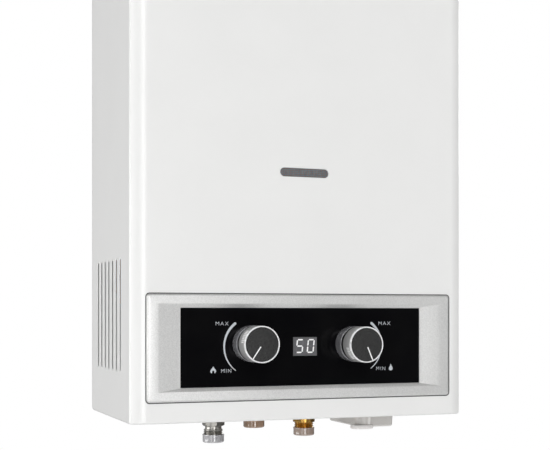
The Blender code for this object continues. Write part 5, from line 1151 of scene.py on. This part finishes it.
def plan_ring(plan, corners, height):
    """A plan with round corners at a height; the front left corner has a radius of its own."""
    left, right, front, back = plan
    wide, small = corners
    points = arc((right - small, back - small), small, 0, 90, CORNER_STEPS)
    points += arc((left + small, back - small), small, 90, 180, CORNER_STEPS)
    points += arc((left + wide, front + wide), wide, 180, 270, FRONT_CORNER_STEPS)
    points += arc((right - small, front + small), small, 270, 360, CORNER_STEPS)
    return level(points, height)


def box_ring(grow, height):
    """The battery box's plan at a height, grown all round."""
    corners = [max(radius + grow, BOX_LEAST_CORNER) for radius in BOX_CORNERS]
    return plan_ring(grown(BOX_PLAN, grow), corners, height)


def hinge_part(form, start, length, bore, web_depth, web_low, web_high):
    """A round part about the lid's hinge pin and the web that joins it to its piece."""
    profile = [(bore, 0), (HINGE_RADIUS, 0), (HINGE_RADIUS, length), (bore, length)]
    origin = (start, HINGE_DEPTH, up(HINGE_HEIGHT))
    turned(form, softened(profile, HINGE_EDGE), origin, SIDEWAYS, HINGE_SIDES)
    web = rectangle_ring((start, start + length, HINGE_DEPTH - web_depth, HINGE_DEPTH), WEB_CORNER)
    capped(form, [level(web, web_low), level(web, web_high)])


def make_battery_box():
    rim, high = BOX_RIM - BOX_EDGE, BOX_TOP - BOX_WALL
    form = bmesh.new()
    rows = [box_ring(*row) for row in (
        (-BOX_WALL, BOX_LOW), (-BOX_NICK, BOX_LOW), (0, BOX_LOW + BOX_NICK),
        (BOX_FLARE, BOX_RIM_LOW), (rim, BOX_RIM_LOW), (BOX_RIM, BOX_RIM_LOW + BOX_EDGE),
        (BOX_RIM, BOX_RIM_HIGH - BOX_EDGE), (rim, BOX_RIM_HIGH), (BOX_FLARE, BOX_RIM_HIGH),
        (0, BOX_TOP - BOX_FLARE), (-BOX_EDGE, BOX_TOP - BOX_EDGE), (-BOX_FLARE, BOX_TOP))]
    form.faces.new(loft(form, rows)[-1])
    form.faces.new(loft(form, [box_ring(-BOX_WALL, BOX_LOW), box_ring(-BOX_WALL, high)])[-1])
    for place in (-LUG_PLACE - LUG_LENGTH, LUG_PLACE):
        hinge_part(form, HINGE_ACROSS + place, LUG_LENGTH, 0, LUG_WEB, HINGE_HEIGHT,
                   HINGE_HEIGHT + LUG_WEB_HEIGHT)
    piece("battery_case", form, BOX_GREY, "battery_box")


def make_battery_lid():
    tab = bmesh.new()
    steps = [(grow, TAB_LOW + rise) for grow, rise in TAB_PROFILE]
    steps += [(grow, LID_LOW + rise) for grow, rise in TAB_SEAT]
    capped(tab, [plan_ring(grown(TAB_PLAN, grow), TAB_CORNERS, height) for grow, height in steps])
    piece("battery_tab", tab, TAB_WHITE, "battery_lid", "lid", False)
    form = bmesh.new()
    rows = [box_ring(grow, LID_LOW + rise) for grow, rise in LID_PROFILE]
    capped(form, rows + [box_ring(0, LID_TOP - BOX_NICK), box_ring(-BOX_NICK, LID_TOP)])
    hinge_part(form, HINGE_ACROSS - BARREL_HALF, 2 * BARREL_HALF, HINGE_BORE, BARREL_WEB, LID_LOW,
               LID_TOP)
    piece("battery_door", form, BOX_GREY, "battery_lid", "lid")


# Flue collar and screws


def make_flue_collar():
    inner, wide = FLUE_RADIUS - FLUE_WALL, FLUE_RADIUS + FLUE_FLANGE_WIDTH
    under = FLUE_FLANGE - FLUE_WALL
    profile = [(inner, FLUE_BASE), (inner, FLUE_TOP), (FLUE_RADIUS, FLUE_TOP),
               (FLUE_RADIUS, FLUE_FLANGE), (wide, FLUE_FLANGE), (wide, under),
               (FLUE_RADIUS, under), (FLUE_RADIUS, FLUE_BASE)]
    origin = (0, -FLUE_DEPTH, FOOT)
    form = bmesh.new()
    turned(form, softened(profile, FLUE_EDGE, 3, True), origin, closed=True, sides=FLUE_SIDES)
    for height in FLUE_RINGS:
        ring = [(FLUE_RADIUS + FLUE_RING_RISE * x, height + FLUE_RING_HALF * y)
                for x, y in arc((0, 0), 1, -90, 90, FLUE_RING_STEPS)]
        turned(form, ring, origin, sides=FLUE_SIDES)
    piece("flue_spigot", form, ZINC, "flue_collar")


def make_screw(name, side):
    """A cover screw with a cross recess."""
    at = (side * (HALF - SCREW_INSET), SCREW_DEPTH, FOOT)
    form = bmesh.new()
    turned(form, SCREW_PROFILE, at, sides=SCREW_SIDES)
    for half_x, half_y in ((CROSS_REACH, CROSS_HALF), (CROSS_HALF, CROSS_REACH)):
        box = (-half_x, half_x, -half_y, half_y)
        ring = [(at[0] + x, at[1] + y) for x, y in rectangle_ring(box, CROSS_CORNER, 2)]
        rows = [level(ring, CROSS_LOW), level(ring, CROSS_LOW + CROSS_HEIGHT)]
        form.faces.new(loft(form, rows)[0])
    piece(f"{name}_head", form, NICKEL, name)


# Pieces that keep their CAD shape

KEPT = (
    (BLACK, "control_panel"), (WINDOW, "display_window"), (BOARD, "display_board"),
    (ZINC, "back_plate hanging_rail flue_hood chamber_support_left chamber_support_right"),
    (COPPER, "combustion_chamber coil_pipe fin_pack hot_water_pipe cold_water_pipe"),
    (CAST_BRASS, "water_valve water_valve_cover"), (BRASS, "gas_spindle water_spindle"),
    (ALUMINIUM, "gas_valve gas_manifold"), (PRESSED, "burner electrode_bracket"),
    (NICKEL, "push_rod temperature_sensor battery_contacts"), (STEEL, "lid_hinge_pin"),
    (BLACK_PLASTIC, "solenoid_valve microswitch overheat_thermostat flue_thermostat"),
    (RED_PLASTIC, "drain_plug microswitch_plunger"), (WHITE_PLASTIC, "igniter_box"),
    (CERAMIC, "ignition_electrode flame_sensor"), (CELL, "battery_cell_front battery_cell_rear"),
)


def dress_kept_nodes():
    for material, names in KEPT:
        for name in names.split():
            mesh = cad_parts[name].data
            mesh.materials.clear()
            mesh.materials.append(material)


# Studio


def area_light(name, location, target, size, power):
    light = bpy.data.lights.new(name, "AREA")
    light.shape = "RECTANGLE"
    light.size, light.size_y = size
    light.energy = power
    made = placed(name, light)
    made.location = location
    made.rotation_euler = (Vector(target) - Vector(location)).to_track_quat("-Z", "Y").to_euler()


def graded(tree, value, stops):
    """Grey strengths at places between -1 and 1, blended in between."""
    share = wired(tree, "ShaderNodeMapRange", {"Value": value, "From Min": -1})["Result"]
    return blended(tree, share, [((place + 1) / 2, (grey, grey, grey, 1)) for place, grey in stops])


def times(tree, first, second):
    """The product of two values."""
    product = tree.nodes.new("ShaderNodeMath")
    product.operation = "MULTIPLY"
    return wire(tree, product, {0: first, 1: second})["Value"]


def mixed(tree, share, first, second):
    """One shader that gives way to another by a share."""
    return wired(tree, "ShaderNodeMixShader", {0: share, 1: first, 2: second})["Shader"]


def make_world():
    """White for the camera, even soft light on surfaces, and in reflections a studio that is dim
    straight ahead of the heater, overhead and underneath."""
    world = bpy.data.worlds.new("studio")
    bpy.context.scene.world = world
    world.use_nodes = True
    tree = world.node_tree
    tree.nodes.clear()
    rays = tree.nodes.new("ShaderNodeLightPath").outputs
    way = tree.nodes.new("ShaderNodeTexCoord").outputs["Generated"]
    axes = wired(tree, "ShaderNodeSeparateXYZ", {"Vector": way})
    room = graded(tree, axes["Y"], ROOM_DEPTH)
    for axis, stops in (("Z", ROOM_HEIGHT), ("X", ROOM_WIDTH)):
        room = times(tree, room, graded(tree, axes[axis], stops))
    soft = times(tree, graded(tree, axes["X"], AMBIENT), graded(tree, axes["Z"], AMBIENT_HEIGHT))
    last = None
    for ray, strength in ((None, soft), ("Is Glossy Ray", room), ("Is Transmission Ray", 1),
                          ("Is Camera Ray", 1)):
        light = wired(tree, "ShaderNodeBackground", {"Color": WHITE, "Strength": strength})
        shader = light["Background"]
        last = mixed(tree, rays[ray], last, shader) if ray else shader
    wired(tree, "ShaderNodeOutputWorld", {"Surface": last})


def pale_finish():
    """A pale floor that looks nearly white and still takes the shadow of the heater."""
    made = finish("pale_floor", "E8E8E8", "EEEEEE", (0.8, 0.9), (0.3, 0.01, 0.0001))
    tree = made.node_tree
    seen = tree.nodes.new("ShaderNodeLightPath").outputs["Is Camera Ray"]
    glow = wired(tree, "ShaderNodeEmission", {"Color": WHITE})["Emission"]
    matt = tree.nodes["Principled BSDF"].outputs["BSDF"]
    shader = mixed(tree, times(tree, seen, FLOOR_GLOW), matt, glow)
    wire(tree, tree.nodes["Material Output"], {"Surface": shader})
    return made


def make_floor():
    form = bmesh.new()
    filled(form, [(x * FLOOR_REACH, y * FLOOR_REACH, FLOOR_HEIGHT)
                  for x, y in ((-1, -1), (1, -1), (1, 1), (-1, 1))])
    mesh = bpy.data.meshes.new("floor")
    form.to_mesh(mesh)
    form.free()
    mesh.materials.append(pale_finish())
    floor = placed("floor", mesh)


def make_camera():
    data = bpy.data.cameras.new("camera")
    data.lens, data.sensor_width = CAMERA_LENS, CAMERA_SENSOR
    data.shift_y = CAMERA_SHIFT
    camera = placed("camera", data)
    camera.location = CAMERA_PLACE
    camera.rotation_euler = (math.radians(90), 0, math.radians(CAMERA_TURN))
    bpy.context.scene.camera = camera


make_cover()
make_mesh_plate()
make_trim()
make_trim_shadow_seal()
make_panel_marks()
make_display()
for knob in KNOBS:
    make_knob(*knob)
make_connections()
make_battery_box()
make_battery_lid()
make_flue_collar()
make_screw("cover_screw_left", -1)
make_screw("cover_screw_right", 1)
dress_kept_nodes()

make_world()
make_floor()
make_camera()
for lamp in LAMPS:
    area_light(*lamp)
bpy.context.scene.view_settings.view_transform = "Standard"
